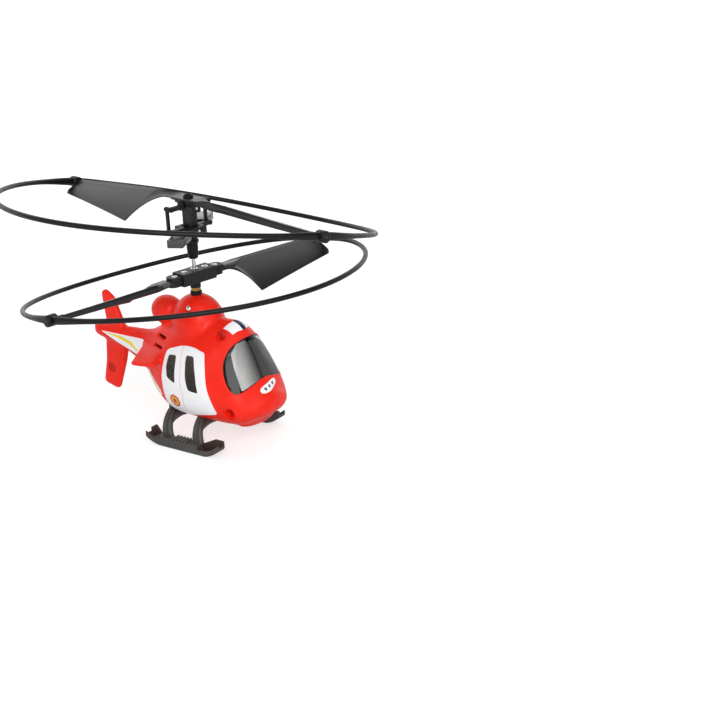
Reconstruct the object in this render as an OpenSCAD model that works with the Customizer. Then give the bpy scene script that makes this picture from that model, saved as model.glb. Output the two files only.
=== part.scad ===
// Toy coaxial helicopter with ring-guarded rotors.
// Millimetres. Origin on the mast axis at floor level, +X towards the nose, +Y to port, +Z up.

/* [Rotors] */
// Radius of the upper guard ring, to the middle of its rod
upper_ring_r = 97.5; // [97:0.5:99]
// Radius of the lower guard ring, to the middle of its rod
lower_ring_r = 90.5; // [88:0.5:90.5]
// Height of the upper blade axis
upper_axis_z = 125.5; // [125:0.5:128]
// Height of the lower blade axis
lower_axis_z = 88.3; // [88:0.1:88.6]
// Direction of the upper blades, measured from the nose towards port
upper_azimuth = 171; // [165:1:177]
// Direction of the lower blades, measured from the nose towards port
lower_azimuth = 260; // [254:1:266]
// Diameter of the guard ring rod
ring_rod_d = 2.6; // [2.2:0.1:2.6]
// How far the upper ring hangs off level on its tip pins
upper_ring_tilt = 13; // [8:0.5:13]
// How far the lower ring hangs off level on its tip pins
lower_ring_tilt = 9; // [5:0.5:9]

/* [Fuselage] */
// Widest width of the cabin
cabin_w = 48; // [46:0.5:50]
// Thickness of the moulded shell
wall = 1.6; // [1.4:0.1:1.8]

/* [Landing gear] */
// Distance between the outer sides of the two runners
skid_track = 58; // [54:1:60]
// Width of one runner
runner_w = 6; // [5:0.5:7]

/* [Drive] */
// Diameter of the steel inner shaft
inner_d = 2; // [1.8:0.1:2]
// Outer diameter of the hollow outer shaft
outer_d = 4; // [3.8:0.1:4]
// Radial play of a part that runs on a pin or shaft
play = 0.06; // [0.04:0.01:0.08]

/* [Hidden] */
// Facets of true round features
round_fn = 40;
// Shell lofting grid: steps along the body and points round each section
loft_steps = 30;
loft_points = 32;
// Roundness exponents of the cabin section above and below its widest level
crown_n = 1.54;
floor_n = 2.67;
half_w = cabin_w / 2;
// Bulkheads from tail to nose: distance from the mast, floor, widest level, roof, half width share
bulkheads = [
    [-77, 46.5, 48.3, 50.5, 0.05],
    [-74, 44, 47.8, 51.2, 0.15],
    [-62, 41.5, 46.8, 51.4, 0.2],
    [-48, 37.5, 45, 52, 0.27],
    [-34, 29, 42.5, 53.4, 0.37],
    [-22, 19.7, 37, 59.6, 0.67],
    [-10, 13.9, 35.7, 63.6, 0.91],
    [4, 12.5, 35.3, 66.2, 1],
    [18, 12.6, 34.8, 67.4, 1.01],
    [30, 12.8, 31, 65.2, 0.93],
    [38, 14.5, 27.1, 50.3, 0.86],
    [44, 18.3, 25, 34.5, 0.65],
    [47, 20, 25.1, 30.8, 0.46],
    [49, 23.6, 25.3, 27.4, 0.19]
];
tail_x = bulkheads[0][0];
nose_x = bulkheads[len(bulkheads) - 1][0];

// Drive train
gear_module = 0.5;
main_teeth = 40;
pinion_teeth = 10;
gear_play = 0.1;
gear_t = 3;
motor_x = gear_module * (main_teeth + pinion_teeth) / 2 + gear_play;
motor_d = 7;
motor_z0 = 42.2;
motor_z1 = 58.2;
motor_shaft_d = 1;
lower_gear_z = 29;
upper_gear_z = 36;
base_z = 23.2;
base_t = 2;
lower_bearing_top = 27;
motor_plate_z = 40.6;
top_plate_z = 51;
top_plate_t = 1.8;
tower_top = 66;
bearing_od = 6;
dome_z = 62;
dome_radii = [15, 13.5, 16.6];

// Rotor head
link_offset = 12.6;
link_drop = 12;
link_rise = 1;
pivot_d = 1.6;
link_pin_d = 1.4;
flybar_z = upper_axis_z - link_drop;
flybar_angle = 123;
weight_r = 22;
weight_l = 13;
weight_w = 8;
weight_t = 4;
post_d = 6;
post_z0 = 98;
post_x = 7;
post_y = 5;
inner_shaft_top = 110;
tip_pin_d = 2.4;
boss_d = 6;
boss_w = 6;
upper_tip_r = upper_ring_r - boss_w / 2 - 0.4;
lower_tip_r = lower_ring_r - boss_w / 2 - 0.4;
upper_sag = 6;
lower_sag = 4.4;
hub_top = lower_axis_z + 3.7;
hub_base = lower_axis_z - 2.9;
hub_screw_r = [6.9, 13.4];
hub_screw_depth = [0.5, 1.3];
tongue_w = 5.4;
tongue_t = 2.2;

// ---------------------------------------------------------------- helpers

// Returns one plain mesh of its children, so that free-form booleans stay light
module mesh() {
    resize([0, 0, 0]) children();
}

// Closed skin over equal rings of points, capped at both ends
module skin(rings) {
    n = len(rings[0]);
    m = len(rings);
    points = [for (r = rings) for (p = r) p];
    sides = [for (i = [0:m - 2]) for (j = [0:n - 1]) for (k = [0, 1])
        k == 0 ? [i * n + j, i * n + (j + 1) % n, (i + 1) * n + j]
               : [(i + 1) * n + j, i * n + (j + 1) % n, (i + 1) * n + (j + 1) % n]];
    caps = [[for (j = [0:n - 1]) n - 1 - j], [for (j = [0:n - 1]) (m - 1) * n + j]];
    polyhedron(points, concat(sides, caps), convexity = 8);
}

// Endless skin whose last ring joins the first
module hoop_skin(rings) {
    n = len(rings[0]);
    m = len(rings);
    points = [for (r = rings) for (p = r) p];
    sides = [for (i = [0:m - 1]) for (j = [0:n - 1]) for (k = [0, 1])
        k == 0 ? [i * n + j, i * n + (j + 1) % n, ((i + 1) % m) * n + j]
               : [((i + 1) % m) * n + j, i * n + (j + 1) % n, ((i + 1) % m) * n + (j + 1) % n]];
    polyhedron(points, sides, convexity = 8);
}

module rod_x(d, x0, x1) {
    translate([x0, 0, 0]) rotate([0, 90, 0]) cylinder(d = d, h = x1 - x0, $fn = round_fn);
}

module rod_y(d, y0, y1) {
    translate([0, y1, 0]) rotate([90, 0, 0]) cylinder(d = d, h = y1 - y0, $fn = round_fn);
}

module rod_z(d, z0, z1) {
    translate([0, 0, z0]) cylinder(d = d, h = z1 - z0, $fn = round_fn);
}

module block(x0, x1, y0, y1, z0, z1) {
    translate([x0, y0, z0]) cube([x1 - x0, y1 - y0, z1 - z0]);
}

// Everything to one side of the middle seam: side 1 is port, side -1 is starboard
module half_space(side) {
    reach = 120;
    translate([-reach, side > 0 ? 0 : -reach, -reach]) cube([2 * reach, reach, 3 * reach]);
}

module on_upper() {
    rotate([0, 0, upper_azimuth]) children();
}

module on_lower() {
    rotate([0, 0, lower_azimuth]) children();
}

// ---------------------------------------------------------------- fuselage form

function last_bulkhead() = len(bulkheads) - 1;
function bulkhead_slope(i, k) =
    let (a = max(i - 1, 0), b = min(i + 1, last_bulkhead()))
    (bulkheads[b][k] - bulkheads[a][k]) / (bulkheads[b][0] - bulkheads[a][0]);
function bay(x, i = 0) = i >= last_bulkhead() - 1 || x <= bulkheads[i + 1][0] ? i : bay(x, i + 1);
// Smooth value of column k of the bulkhead list at distance x
function body_at(x, k) =
    let (i = bay(x), h = bulkheads[i + 1][0] - bulkheads[i][0], t = (x - bulkheads[i][0]) / h)
    (2 * t * t * t - 3 * t * t + 1) * bulkheads[i][k]
    + (t * t * t - 2 * t * t + t) * h * bulkhead_slope(i, k)
    + (3 * t * t - 2 * t * t * t) * bulkheads[i + 1][k]
    + (t * t * t - t * t) * h * bulkhead_slope(i + 1, k);
function signed_power(v, e) = sign(v) * pow(abs(v), e);
// Section of the body at x, moved inwards by inset
function body_section(x, inset) =
    let (floor_z = body_at(x, 1) + inset, mid_z = body_at(x, 2), roof_z = body_at(x, 3) - inset,
         w = max(half_w * body_at(x, 4) - inset, 0.3))
    [for (j = [0:loft_points - 1])
        let (a = -360 * j / loft_points, n = sin(a) > 0 ? crown_n : floor_n,
             rise = sin(a) > 0 ? max(roof_z - mid_z, 0.2) : max(mid_z - floor_z, 0.2))
        [x, w * signed_power(cos(a), 2 / n), mid_z + rise * signed_power(sin(a), 2 / n)]];
// Steps crowd towards the tail tip and the nose, where the form turns fastest
function body_x(i, x0, x1) = x0 + (x1 - x0) * (1 - cos(180 * i / loft_steps)) / 2;

module body_form(inset, x0 = tail_x, x1 = nose_x) {
    skin([for (i = [0:loft_steps]) body_section(body_x(i, x0, x1), inset)]);
}

module dome_form(inset) {
    translate([0, 0, dome_z]) scale([for (r = dome_radii) r - inset])
        sphere(r = 1, $fn = 32);
}

module ear_form() {
    translate([-21.5, 0, 66.2]) scale([9.6, 7.6, 8.2]) sphere(r = 1, $fn = 28);
}

// Lip under the chin
module chin_form() {
    translate([35, 0, 15.6]) scale([6.4, 14.5, 3.4]) sphere(r = 1, $fn = 28);
}

// Point of a fin: a rounded plate corner of thickness t
module fin_corner(x, z, r, t) {
    translate([x, 0, z]) scale([r, t / 2, r]) sphere(r = 1, $fn = 16);
}

module upper_fin() {
    hull() {
        fin_corner(-57, 50, 3, 5.2);
        fin_corner(-64, 50, 3, 5.2);
        fin_corner(-62.6, 66, 2.4, 4.4);
        fin_corner(-66.6, 68.6, 2.6, 4.4);
    }
}

module lower_fin() {
    hull() {
        fin_corner(-56, 42, 3, 5.2);
        fin_corner(-66, 44, 3, 5.2);
        fin_corner(-59, 31, 3, 5);
        fin_corner(-67.5, 30, 3, 5);
    }
    hull() {
        fin_corner(-59, 31, 3, 5);
        fin_corner(-67.5, 30, 3, 5);
        fin_corner(-64.5, 15.6, 2.6, 4.2);
        fin_corner(-71, 17.4, 2.6, 4.2);
    }
}

module winglet(side) {
    hull() {
        translate([-31, side * 7, 46.6]) scale([3, 3, 2]) sphere(r = 1, $fn = 16);
        translate([-13, side * 12, 47.5]) scale([3, 3, 2]) sphere(r = 1, $fn = 16);
        translate([-26, side * 24.6, 42.6]) scale([2.4, 1.6, 1.2]) sphere(r = 1, $fn = 16);
        translate([-12, side * 24.6, 43.6]) scale([2.4, 1.6, 1.2]) sphere(r = 1, $fn = 16);
    }
}

// Screws that join the two shells: [x, z, depth of the head seat, depth of the tip beyond the seam]
screw_sites = [[22.9, 61.4, 7.5, 6], [34.5, 24.1, 16.5, 8], [-65.4, 26, 1.2, 1.6]];
// Short screw that holds the dome to the mast collar: x, z, depth of its head seat and of its tip
collar_screw = [2, 72.9, 9, 3.4];
screw_head_d = 3.4;
screw_head_t = 1.2;
screw_d = 1.7;
screw_boss_d = 8;
recess_d = 5.4;

module at_site(site) {
    translate([site[0], 0, site[1]]) children();
}

// ---------------------------------------------------------------- outlines on the body

// Windshield outline seen from the front, starboard half first
function windshield_half() = [[0, 60], [4, 59.8], [9.6, 57.8], [13.8, 54], [17.2, 48.4], [19, 42.6],
    [19.7, 37.4], [19, 34], [14.7, 35.4], [8.6, 37.2]];
module windshield_outline() {
    half = windshield_half();
    n = len(half);
    polygon(concat(half, [[0, 39.4]], [for (i = [n - 1:-1:1]) [-half[i][0], half[i][1]]]));
}

// Door outline seen from the side, with rounded corners
module door_outline() {
    offset(r = 1.6, $fn = 16) offset(delta = -1.6)
        polygon([[-9.4, 51], [1.6, 54.6], [9, 55], [17.4, 53.4], [20, 46], [22.4, 36], [27, 22.4],
            [14, 19.4], [3.5, 16.6], [-3.1, 17.8], [-8.6, 20.4], [-9.8, 38.8]]);
}

module rear_window_outline() {
    offset(r = 1, $fn = 12) offset(delta = -1)
        polygon([[-6.6, 49], [-0.9, 49.6], [0.9, 35.8], [-5.4, 38], [-6.9, 43.3]]);
}

module front_window_outline() {
    offset(r = 1, $fn = 12) offset(delta = -1)
        polygon([[6, 50.8], [11.4, 51], [14.8, 42.3], [17, 33.2], [10.4, 33.8], [8.2, 40]]);
}

module stripe_outline() {
    polygon([[-69, 47.9], [-35.5, 48.6], [-35, 43], [-40.6, 39.6], [-56, 43.4]]);
    polygon([[-30.5, 33.5], [-27, 35.6], [-13, 28.4], [-12.4, 25.6], [-16, 24]]);
}

// Prism of a side outline through the half of the body on one side
module side_prism(side) {
    depth = 40;
    translate([0, side > 0 ? depth : 0, 0]) rotate([90, 0, 0]) linear_extrude(depth) children();
}

// Prism of a front outline, from mid cabin forwards
module front_prism() {
    translate([20, 0, 0]) rotate([90, 0, 90]) linear_extrude(40) children();
}

// Thin cover on the body between two insets, cut to the prism given as children
module cover(outer, inner) {
    intersection() {
        difference() {
            body_form(outer);
            body_form(inner);
        }
        children();
    }
}

// ---------------------------------------------------------------- shells

// Cooling slots: x, distance from the middle, z, and how far each turns with the flank
vent_sites = [[-18.7, 9.6, 54.2, 26], [-18.9, 13, 49.6, 23]];
vent_size = [8.5, 12, 2];
led_x = -2.8;
led_z = 39.4;
led_d = 3;
socket_x = 27;
socket_d = 4.6;
switch_x = -13.5;
switch_travel = 3;
leg_x = [-10.5, 10.4];
tab_y = 14;
tab_l = 4.4;
tab_w = 2.6;

module leg_tabs(gap) {
    for (x = leg_x)
        for (side = [-1, 1])
            block(x - tab_l / 2 - gap, x + tab_l / 2 + gap, side * tab_y - tab_w / 2 - gap,
                side * tab_y + tab_w / 2 + gap, 10, 20 + gap);
}

collar_d = 6.2;

// Outer form of the whole body shell
module outer_form(side) {
    body_form(0);
    dome_form(0);
    ear_form();
    chin_form();
    upper_fin();
    lower_fin();
    winglet(side);
}

module screw_bosses() {
    intersection() {
        body_form(0.4);
        for (s = screw_sites)
            at_site(s) rotate([90, 0, 0]) cylinder(d = screw_boss_d, h = 60, center = true, $fn = 20);
    }
}

module shell(side) {
    difference() {
        mesh() intersection() {
            difference() {
                union() {
                    difference() {
                        outer_form(side);
                        body_form(wall, -42, nose_x - 2.5);
                        dome_form(wall);
                    }
                    screw_bosses();
                }
                cover(-0.5, 0.85) front_prism() offset(delta = 0.08) windshield_outline();
                for (v = vent_sites)
                    translate([v[0], side * v[1], v[2]]) rotate([0, 0, side * v[3]])
                        cube(vent_size, center = true);
                leg_tabs(0.06);
                block(switch_x - 1.4, switch_x + switch_travel + 1.4, -1.2, 1.2, 10, 20);
            }
            half_space(side);
        }
        rod_z(collar_d + 0.1, 72, 90);
        translate([socket_x, 0, 0]) rod_z(socket_d + 0.1, 5, 20);
        for (s = screw_sites) at_site(s) rod_y(screw_d + (side > 0 ? 0 : 0.3), -30, side > 0 ? s[3] : 1);
        if (side < 0) for (s = screw_sites) at_site(s) rod_y(recess_d, -30, -s[2]);
        if (side < 0) at_site(collar_screw) rod_y(screw_d + 0.3, -30, -4);
        if (side < 0) at_site(collar_screw) rod_y(screw_head_d + 0.2, -30, -collar_screw[2]);
        if (side < 0) translate([led_x, 0, led_z]) rod_y(led_d + 0.1, -30, -15);
    }
}

module right_shell() {
    color("red") shell(-1);
}

module left_shell() {
    color("red") shell(1);
}

module windshield() {
    color([0.05, 0.05, 0.06]) mesh() cover(0, 0.8) front_prism() windshield_outline();
}

// Part of the swept band of labels across the roof
module roof_label(outline) {
    cover(-0.25, 0) translate([0, 0, 58]) linear_extrude(16) polygon(outline);
}

module roof_window() {
    color([0.1, 0.12, 0.2]) mesh() roof_label([[25, -1.4], [31.4, -1.4], [31.4, 1.4], [25, 1.4]]);
}

module roof_panels() {
    color("white") mesh() union() {
        for (side = [-1, 1])
            roof_label([[25, 1.5 * side], [31.2, 1.5 * side], [28.9, 7 * side], [22.6, 6.6 * side]]);
    }
}

module door(side) {
    mesh() cover(-0.3, 0) side_prism(side) difference() {
        door_outline();
        offset(delta = 0.05) rear_window_outline();
        offset(delta = 0.05) front_window_outline();
        // parting line between the fixed and the sliding leaf
        polygon([[1.3, 56], [1.9, 56], [6.2, 30], [5.6, 14], [5, 14], [5.6, 30]]);
    }
}

module door_windows(side) {
    mesh() cover(-0.2, 0) side_prism(side) union() {
        rear_window_outline();
        front_window_outline();
    }
}

module right_door() {
    color("white") door(-1);
}

module left_door() {
    color("white") door(1);
}

module right_door_windows() {
    color([0.2, 0.2, 0.2]) door_windows(-1);
}

module left_door_windows() {
    color([0.2, 0.2, 0.2]) door_windows(1);
}

module nose_badge() {
    color("white") mesh() cover(-0.4, 0) front_prism()
        translate([0.6, 34]) scale([1, 0.36]) circle(d = 13.4, $fn = 32);
}

module stripe(side) {
    mesh() cover(-0.2, 0) side_prism(side) stripe_outline();
}

module right_stripe() {
    color("yellow") stripe(-1);
}

module left_stripe() {
    color("yellow") stripe(1);
}

module shell_screws() {
    color("silver") {
        for (s = screw_sites) at_site(s) {
            rod_y(screw_head_d, -s[2] - screw_head_t, -s[2]);
            rod_y(screw_d, -s[2] - 0.1, s[3]);
        }
        at_site(collar_screw) {
            rod_y(screw_head_d, -collar_screw[2] - screw_head_t, -collar_screw[2]);
            rod_y(screw_d, -collar_screw[2] - 0.1, -collar_screw[3]);
        }
    }
}

// ---------------------------------------------------------------- landing gear

skid_y = skid_track / 2 - runner_w / 2;
runner_x0 = -19;
runner_x1 = 31.5;
flat_x0 = -9;
flat_x1 = 21;
runner_h = 5;
tip_h = 4;
channel_w = 3.8;
rear_rise = 3.4;
front_rise = 5;

// Height of the underside of the runner: flat in the middle, turned up at both ends
function keel(x) =
    x < flat_x0 ? rear_rise * pow((flat_x0 - x) / (flat_x0 - runner_x0), 1.7) :
    x > flat_x1 ? front_rise * pow((x - flat_x1) / (runner_x1 - flat_x1), 1.7) : 0;
function tip_share(x) = x < flat_x0 ? (flat_x0 - x) / (flat_x0 - runner_x0)
    : x > flat_x1 ? (x - flat_x1) / (runner_x1 - flat_x1) : 0;
function runner_depth(x) = runner_h + (tip_h - runner_h) * tip_share(x);

module runner_profile(lift, grow) {
    steps = 24;
    xs = [for (i = [0:steps]) runner_x0 - grow + (runner_x1 - runner_x0 + 2 * grow) * i / steps];
    polygon(concat([for (x = xs) [x, keel(x) + lift]],
        [for (i = [steps:-1:0]) [xs[i], keel(xs[i]) + runner_depth(xs[i]) + (grow > 0 ? 4 : 0)]]));
}

// Path of a leg: a quarter arch from the belly out and down to the runner
function leg_point(side, x, t) = let (a = 90 * t)
    [x + 3.6 * t, side * (13.2 + (skid_y - 15.4) * sin(a)), 4 + 11.6 * cos(a)];
function leg_ring(side, x, t, w, d) =
    let (p = leg_point(side, x, t), a = 90 * t, out = [0, side * sin(a), cos(a)])
    [for (c = [[-1, -1], [1, -1], [1, 1], [-1, 1]])
        [p[0] + c[0] * w / 2, p[1] + out[1] * c[1] * d / 2, p[2] + out[2] * c[1] * d / 2]];

module leg(side, x) {
    steps = 10;
    rings = [for (i = [0:steps]) leg_ring(side, x, i / steps, 5 + 1.6 * pow(i / steps, 3), 3)];
    ridge = [for (i = [0:steps]) leg_ring(side, x, i / steps, 1.4, 4)];
    skin(side > 0 ? rings : [for (r = rings) [r[3], r[2], r[1], r[0]]]);
    skin(side > 0 ? ridge : [for (r = ridge) [r[3], r[2], r[1], r[0]]]);
}

module skid(side) {
    ribs = 5;
    mesh() difference() {
        union() {
            difference() {
                translate([0, side * skid_y + runner_w / 2, 0])
                    rotate([90, 0, 0]) linear_extrude(runner_w) runner_profile(0, 0);
                for (x = [[runner_x0 - 1, -12], [17, runner_x1 + 1]])
                    intersection() {
                        translate([0, side * skid_y + channel_w / 2, 0])
                            rotate([90, 0, 0]) linear_extrude(channel_w) runner_profile(1.6, 2);
                        block(x[0], x[1], -40, 40, 0, 30);
                    }
            }
            for (x = leg_x) leg(side, x);
            for (i = [0:ribs - 1])
                block(-0.2 + 2 * i, 0.8 + 2 * i, side * skid_y - 2.4, side * skid_y + 2.4, 4.5, 5.6);
            for (x = leg_x)
                block(x - tab_l / 2, x + tab_l / 2, side * tab_y - tab_w / 2, side * tab_y + tab_w / 2,
                    13, 19.6);
        }
        difference() {
            body_form(-0.03);
            leg_tabs(0);
        }
    }
}

module right_skid() {
    color([0.3, 0.3, 0.3]) skid(-1);
}

module left_skid() {
    color([0.3, 0.3, 0.3]) skid(1);
}

// ---------------------------------------------------------------- inside the cabin

post_sites = [[6, 11.5], [6, -11.5], [-6, 11.5], [-6, -11.5]];

module chassis() {
    color([0.15, 0.15, 0.16]) difference() {
        union() {
            block(-18, 25.2, -9.5, 9.5, base_z, base_z + base_t);
            block(-7.6, 7.6, -13.1, 13.1, base_z, base_z + base_t);
            block(-7.6, 7.6, -13.1, 13.1, motor_plate_z, motor_z0);
            block(-16.6, 16.6, -4.2, 4.2, motor_plate_z, motor_z0);
            block(-7.6, 7.6, -12.9, 12.9, top_plate_z, top_plate_z + top_plate_t);
            block(-10, 10, -4, 4, top_plate_z, top_plate_z + top_plate_t);
            for (x = [-motor_x, motor_x])
                translate([x, 0, 0]) rod_z(motor_d + 2.4, top_plate_z, top_plate_z + top_plate_t);
            for (p = post_sites) translate([p[0], p[1], 0]) rod_z(2.8, base_z + 0.5, top_plate_z + 0.5);
            rod_z(8.4, top_plate_z, tower_top);
        }
        rod_z(bearing_od, tower_top - 4, tower_top + 1);
        rod_z(outer_d + 0.6, motor_plate_z - 1, tower_top);
        rod_z(5, base_z - 1, base_z + base_t + 1);
        for (x = [-motor_x, motor_x]) translate([x, 0, 0]) {
            rod_z(motor_shaft_d + 0.6, motor_plate_z - 1, motor_z0 + 1);
            rod_z(motor_d, top_plate_z - 1, top_plate_z + top_plate_t + 1);
        }
    }
}

module mast_collar() {
    color([0.15, 0.15, 0.16]) difference() {
        union() {
            rod_z(10.8, 69, 75);
            rod_z(collar_d, 74, 80.2);
        }
        rod_z(outer_d + 2 * play, 68, 81);
        at_site(collar_screw) rod_y(screw_d, -10, -collar_screw[3]);
    }
}

module upper_bearing() {
    color("goldenrod") difference() {
        rod_z(bearing_od, tower_top - 4, tower_top);
        rod_z(outer_d + 2 * play, tower_top - 5, tower_top + 1);
    }
}

module lower_bearing() {
    color("goldenrod") difference() {
        rod_z(5, base_z, lower_bearing_top);
        translate([0, 0, base_z + 0.8]) rod_z(inner_d + 2 * play, 0, 10);
    }
}

module motor(x) {
    color("silver") translate([x, 0, 0]) difference() {
        union() {
            rod_z(motor_d, motor_z0, motor_z1);
            rod_z(3, motor_z1, motor_z1 + 0.6);
        }
        rod_z(motor_shaft_d + 2 * play, motor_z0 - 1, motor_z0 + 6);
    }
}

module front_motor() {
    motor(motor_x);
}

module rear_motor() {
    motor(-motor_x);
}

module battery_pack() {
    color([0.2, 0.3, 0.6]) mesh() hull() {
        for (x = [-6, 18])
            for (y = [-7, 7]) translate([x, y, base_z - 7]) cylinder(r = 1.6, h = 7, $fn = 24);
    }
}

module circuit_board() {
    color("green") union() {
        block(24, 25, -8, 8, base_z + base_t, 48);
        block(22.6, 24, -5, 5, 30, 35);
        block(22.9, 24, -3, 4, 38, 42);
    }
}

module infrared_receiver() {
    color([0.08, 0.08, 0.08]) union() {
        block(25, 27.2, -2.8, 2.8, 42, 47.4);
        translate([27, 0, 44.7]) sphere(r = 1.8, $fn = 24);
    }
}

module status_light() {
    color("darkred") translate([led_x, 0, led_z]) union() {
        rod_y(led_d, -22, -17);
        rod_y(led_d + 0.8, -17.6, -16.8);
    }
}

module charge_socket() {
    color([0.1, 0.1, 0.1]) translate([socket_x, 0, 0]) difference() {
        union() {
            rod_z(socket_d, 13.2, 20);
            rod_z(socket_d + 1.6, 16, 20);
        }
        rod_z(2.1, 12, 18.2);
    }
}

module switch_body() {
    color([0.7, 0.7, 0.72]) difference() {
        union() {
            block(switch_x - 3.5, switch_x + 5.5, -2.4, 2.4, 19, 21.8);
            block(switch_x - 2, switch_x + 4, -1.6, 1.6, 21.4, base_z);
        }
        block(switch_x - 2, switch_x + 2 + switch_travel, -1.3, 1.3, 17, 20.2);
    }
}

module switch_slider() {
    color([0.1, 0.1, 0.1]) union() {
        block(switch_x - 0.9, switch_x + 0.9, -1, 1, 13.6, 19.5);
        block(switch_x - 1.8, switch_x + 1.8, -1.2, 1.2, 19.1, 20.1);
    }
}

// ---------------------------------------------------------------- gears

// Flat gear outline with short straight-sided teeth
module gear_outline(teeth, bore_d) {
    r = gear_module * teeth / 2;
    valley_r = r - 1.12 * gear_module;
    tooth_r = r + 0.7 * gear_module;
    pitch = 360 / teeth;
    valley_w = 0.31;
    tooth_w = 0.13;
    difference() {
        polygon([for (i = [0:teeth - 1])
            for (k = [[-valley_w, valley_r], [-tooth_w, tooth_r], [tooth_w, tooth_r], [valley_w, valley_r]])
                let (a = pitch * (i + k[0])) [k[1] * cos(a), k[1] * sin(a)]]);
        circle(d = bore_d, $fn = round_fn);
    }
}

module main_gear(z0, hub_z0, hub_z1, hub_d, bore_d) {
    difference() {
        union() {
            translate([0, 0, z0]) linear_extrude(gear_t) gear_outline(main_teeth, bore_d);
            rod_z(hub_d, hub_z0, hub_z1);
        }
        rod_z(bore_d, hub_z0 - 1, hub_z1 + 1);
        for (a = [30:60:330])
            rotate([0, 0, a]) translate([6.6, 0, 0]) rod_z(3, z0 - 1, z0 + gear_t + 1);
    }
}

module inner_shaft_gear() {
    color("ivory")
        main_gear(lower_gear_z, lower_bearing_top + 0.2, lower_gear_z + gear_t + 0.8, 7, inner_d);
}

module outer_shaft_gear() {
    color("ivory")
        main_gear(upper_gear_z, upper_gear_z - 1.2, upper_gear_z + gear_t + 0.8, 8, outer_d);
}

// Small gear on a motor, turned so that a gap meets the main gear tooth
module pinion(x, z0) {
    gap_turn = x > 0 ? 180 + 180 / pinion_teeth : 180 / pinion_teeth;
    color("goldenrod") translate([x, 0, z0 - 0.2]) rotate([0, 0, gap_turn])
        linear_extrude(gear_t + 0.4) gear_outline(pinion_teeth, motor_shaft_d);
}

module front_pinion() {
    pinion(motor_x, upper_gear_z);
}

module rear_pinion() {
    pinion(-motor_x, lower_gear_z);
}

module front_motor_shaft() {
    color("silver") translate([motor_x, 0, 0]) rod_z(motor_shaft_d, upper_gear_z - 0.4, motor_z0 + 5.8);
}

module rear_motor_shaft() {
    color("silver") translate([-motor_x, 0, 0]) rod_z(motor_shaft_d, lower_gear_z - 0.4, motor_z0 + 5.8);
}

// ---------------------------------------------------------------- shafts and lower rotor

module inner_shaft() {
    color("silver") rod_z(inner_d, base_z + 0.9, inner_shaft_top);
}

module outer_shaft() {
    color("silver") difference() {
        rod_z(outer_d, upper_gear_z - 1.4, hub_top + 0.4);
        rod_z(inner_d + 2 * play, upper_gear_z - 3, hub_top + 2);
    }
}

module shaft_ring() {
    color("goldenrod") difference() {
        rod_z(5.4, 80.6, 82.2);
        rod_z(outer_d, 80, 83);
    }
}

module lower_hub() {
    color([0.12, 0.12, 0.13]) on_lower() difference() {
        union() {
            block(-11, 11, -4.6, 4.6, hub_base, hub_top);
            block(-14.4, 14.4, -3.6, 3.6, hub_base + 0.7, hub_top - 0.8);
            for (x = [-14.4, 14.4]) translate([x, 0, 0]) rod_z(7.2, hub_base + 0.7, hub_top - 0.8);
            rod_z(5.6, 82.2, hub_base + 1);
        }
        rod_z(outer_d, 80, hub_top + 1);
        for (s = [-1, 1]) {
            translate([s > 0 ? 5 : -19, -tongue_w / 2 - 0.05, lower_axis_z - tongue_t / 2 - 0.05])
                cube([14, tongue_w + 0.1, tongue_t + 0.1]);
            for (k = [0, 1]) translate([s * hub_screw_r[k], 0, 0]) {
                rod_z(4.6, hub_top - hub_screw_depth[k], hub_top + 1);
                rod_z(1.8, hub_base + 0.8, hub_top + 1);
            }
        }
    }
}

module lower_hub_screws() {
    color("silver") on_lower() for (s = [-1, 1]) for (k = [0, 1])
        translate([s * hub_screw_r[k], 0, 0]) {
            seat = hub_top - hub_screw_depth[k];
            rod_z(3.8, seat, seat + 0.9);
            rod_z(1.5, hub_base + 1.4, seat + 0.1);
        }
}

// ---------------------------------------------------------------- blades

// Where the trailing edge starts to sweep back, where the paddle is deepest, and the edge distances
sweep_r = 15;
paddle_r = 28;
lead_edge = 3.2;
root_trail = 2;
paddle_trail = 20.5;
edge_t = 0.5;
// Where a blade leaves its flat root
upper_flat_r = 7;
upper_flare_r = 12;
lower_flare_r = 18.2;
blade_points = 7;
blade_steps = 26;
// Blade kinds: tip distance, hand, lift of the root above the axis, root thickness, root width,
// distance at which the root flares, pitch slope, tip corner trail, nose thickness at the root
upper_blade_kind = [upper_tip_r, 1, 4.4, 1.4, 9, upper_flare_r, 0.42, 10, 4.4];
lower_blade_kind = [lower_tip_r, -1, 0, tongue_t, tongue_w, lower_flare_r, 0.55, 13, 3];

function smooth(t) = let (c = min(max(t, 0), 1)) c * c * (3 - 2 * c);
// How far the trailing edge lies behind the axis at distance r
function trail(r, tip_r, tip_trail) =
    r < sweep_r ? root_trail :
    r < paddle_r ?
        root_trail + (paddle_trail - root_trail) * pow((r - sweep_r) / (paddle_r - sweep_r), 2.4) :
    paddle_trail + (tip_trail - paddle_trail) * (r - paddle_r) / (tip_r - paddle_r);
// How far the leading edge lies ahead of the axis: slimmer at the very tip
function lead(r, tip_r) = lead_edge * (1 - 0.3 * smooth((r - 0.7 * tip_r) / (0.3 * tip_r)));
// Stations crowd where the root flares into the paddle
function blade_r(i, r0, tip_r) =
    let (t = i / blade_steps)
    t < 0.6 ? r0 + (paddle_r + 4 - r0) * (1 - pow(1 - t / 0.6, 1.5)) :
    paddle_r + 4 + (tip_r - paddle_r - 4) * (t - 0.6) / 0.4;
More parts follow.
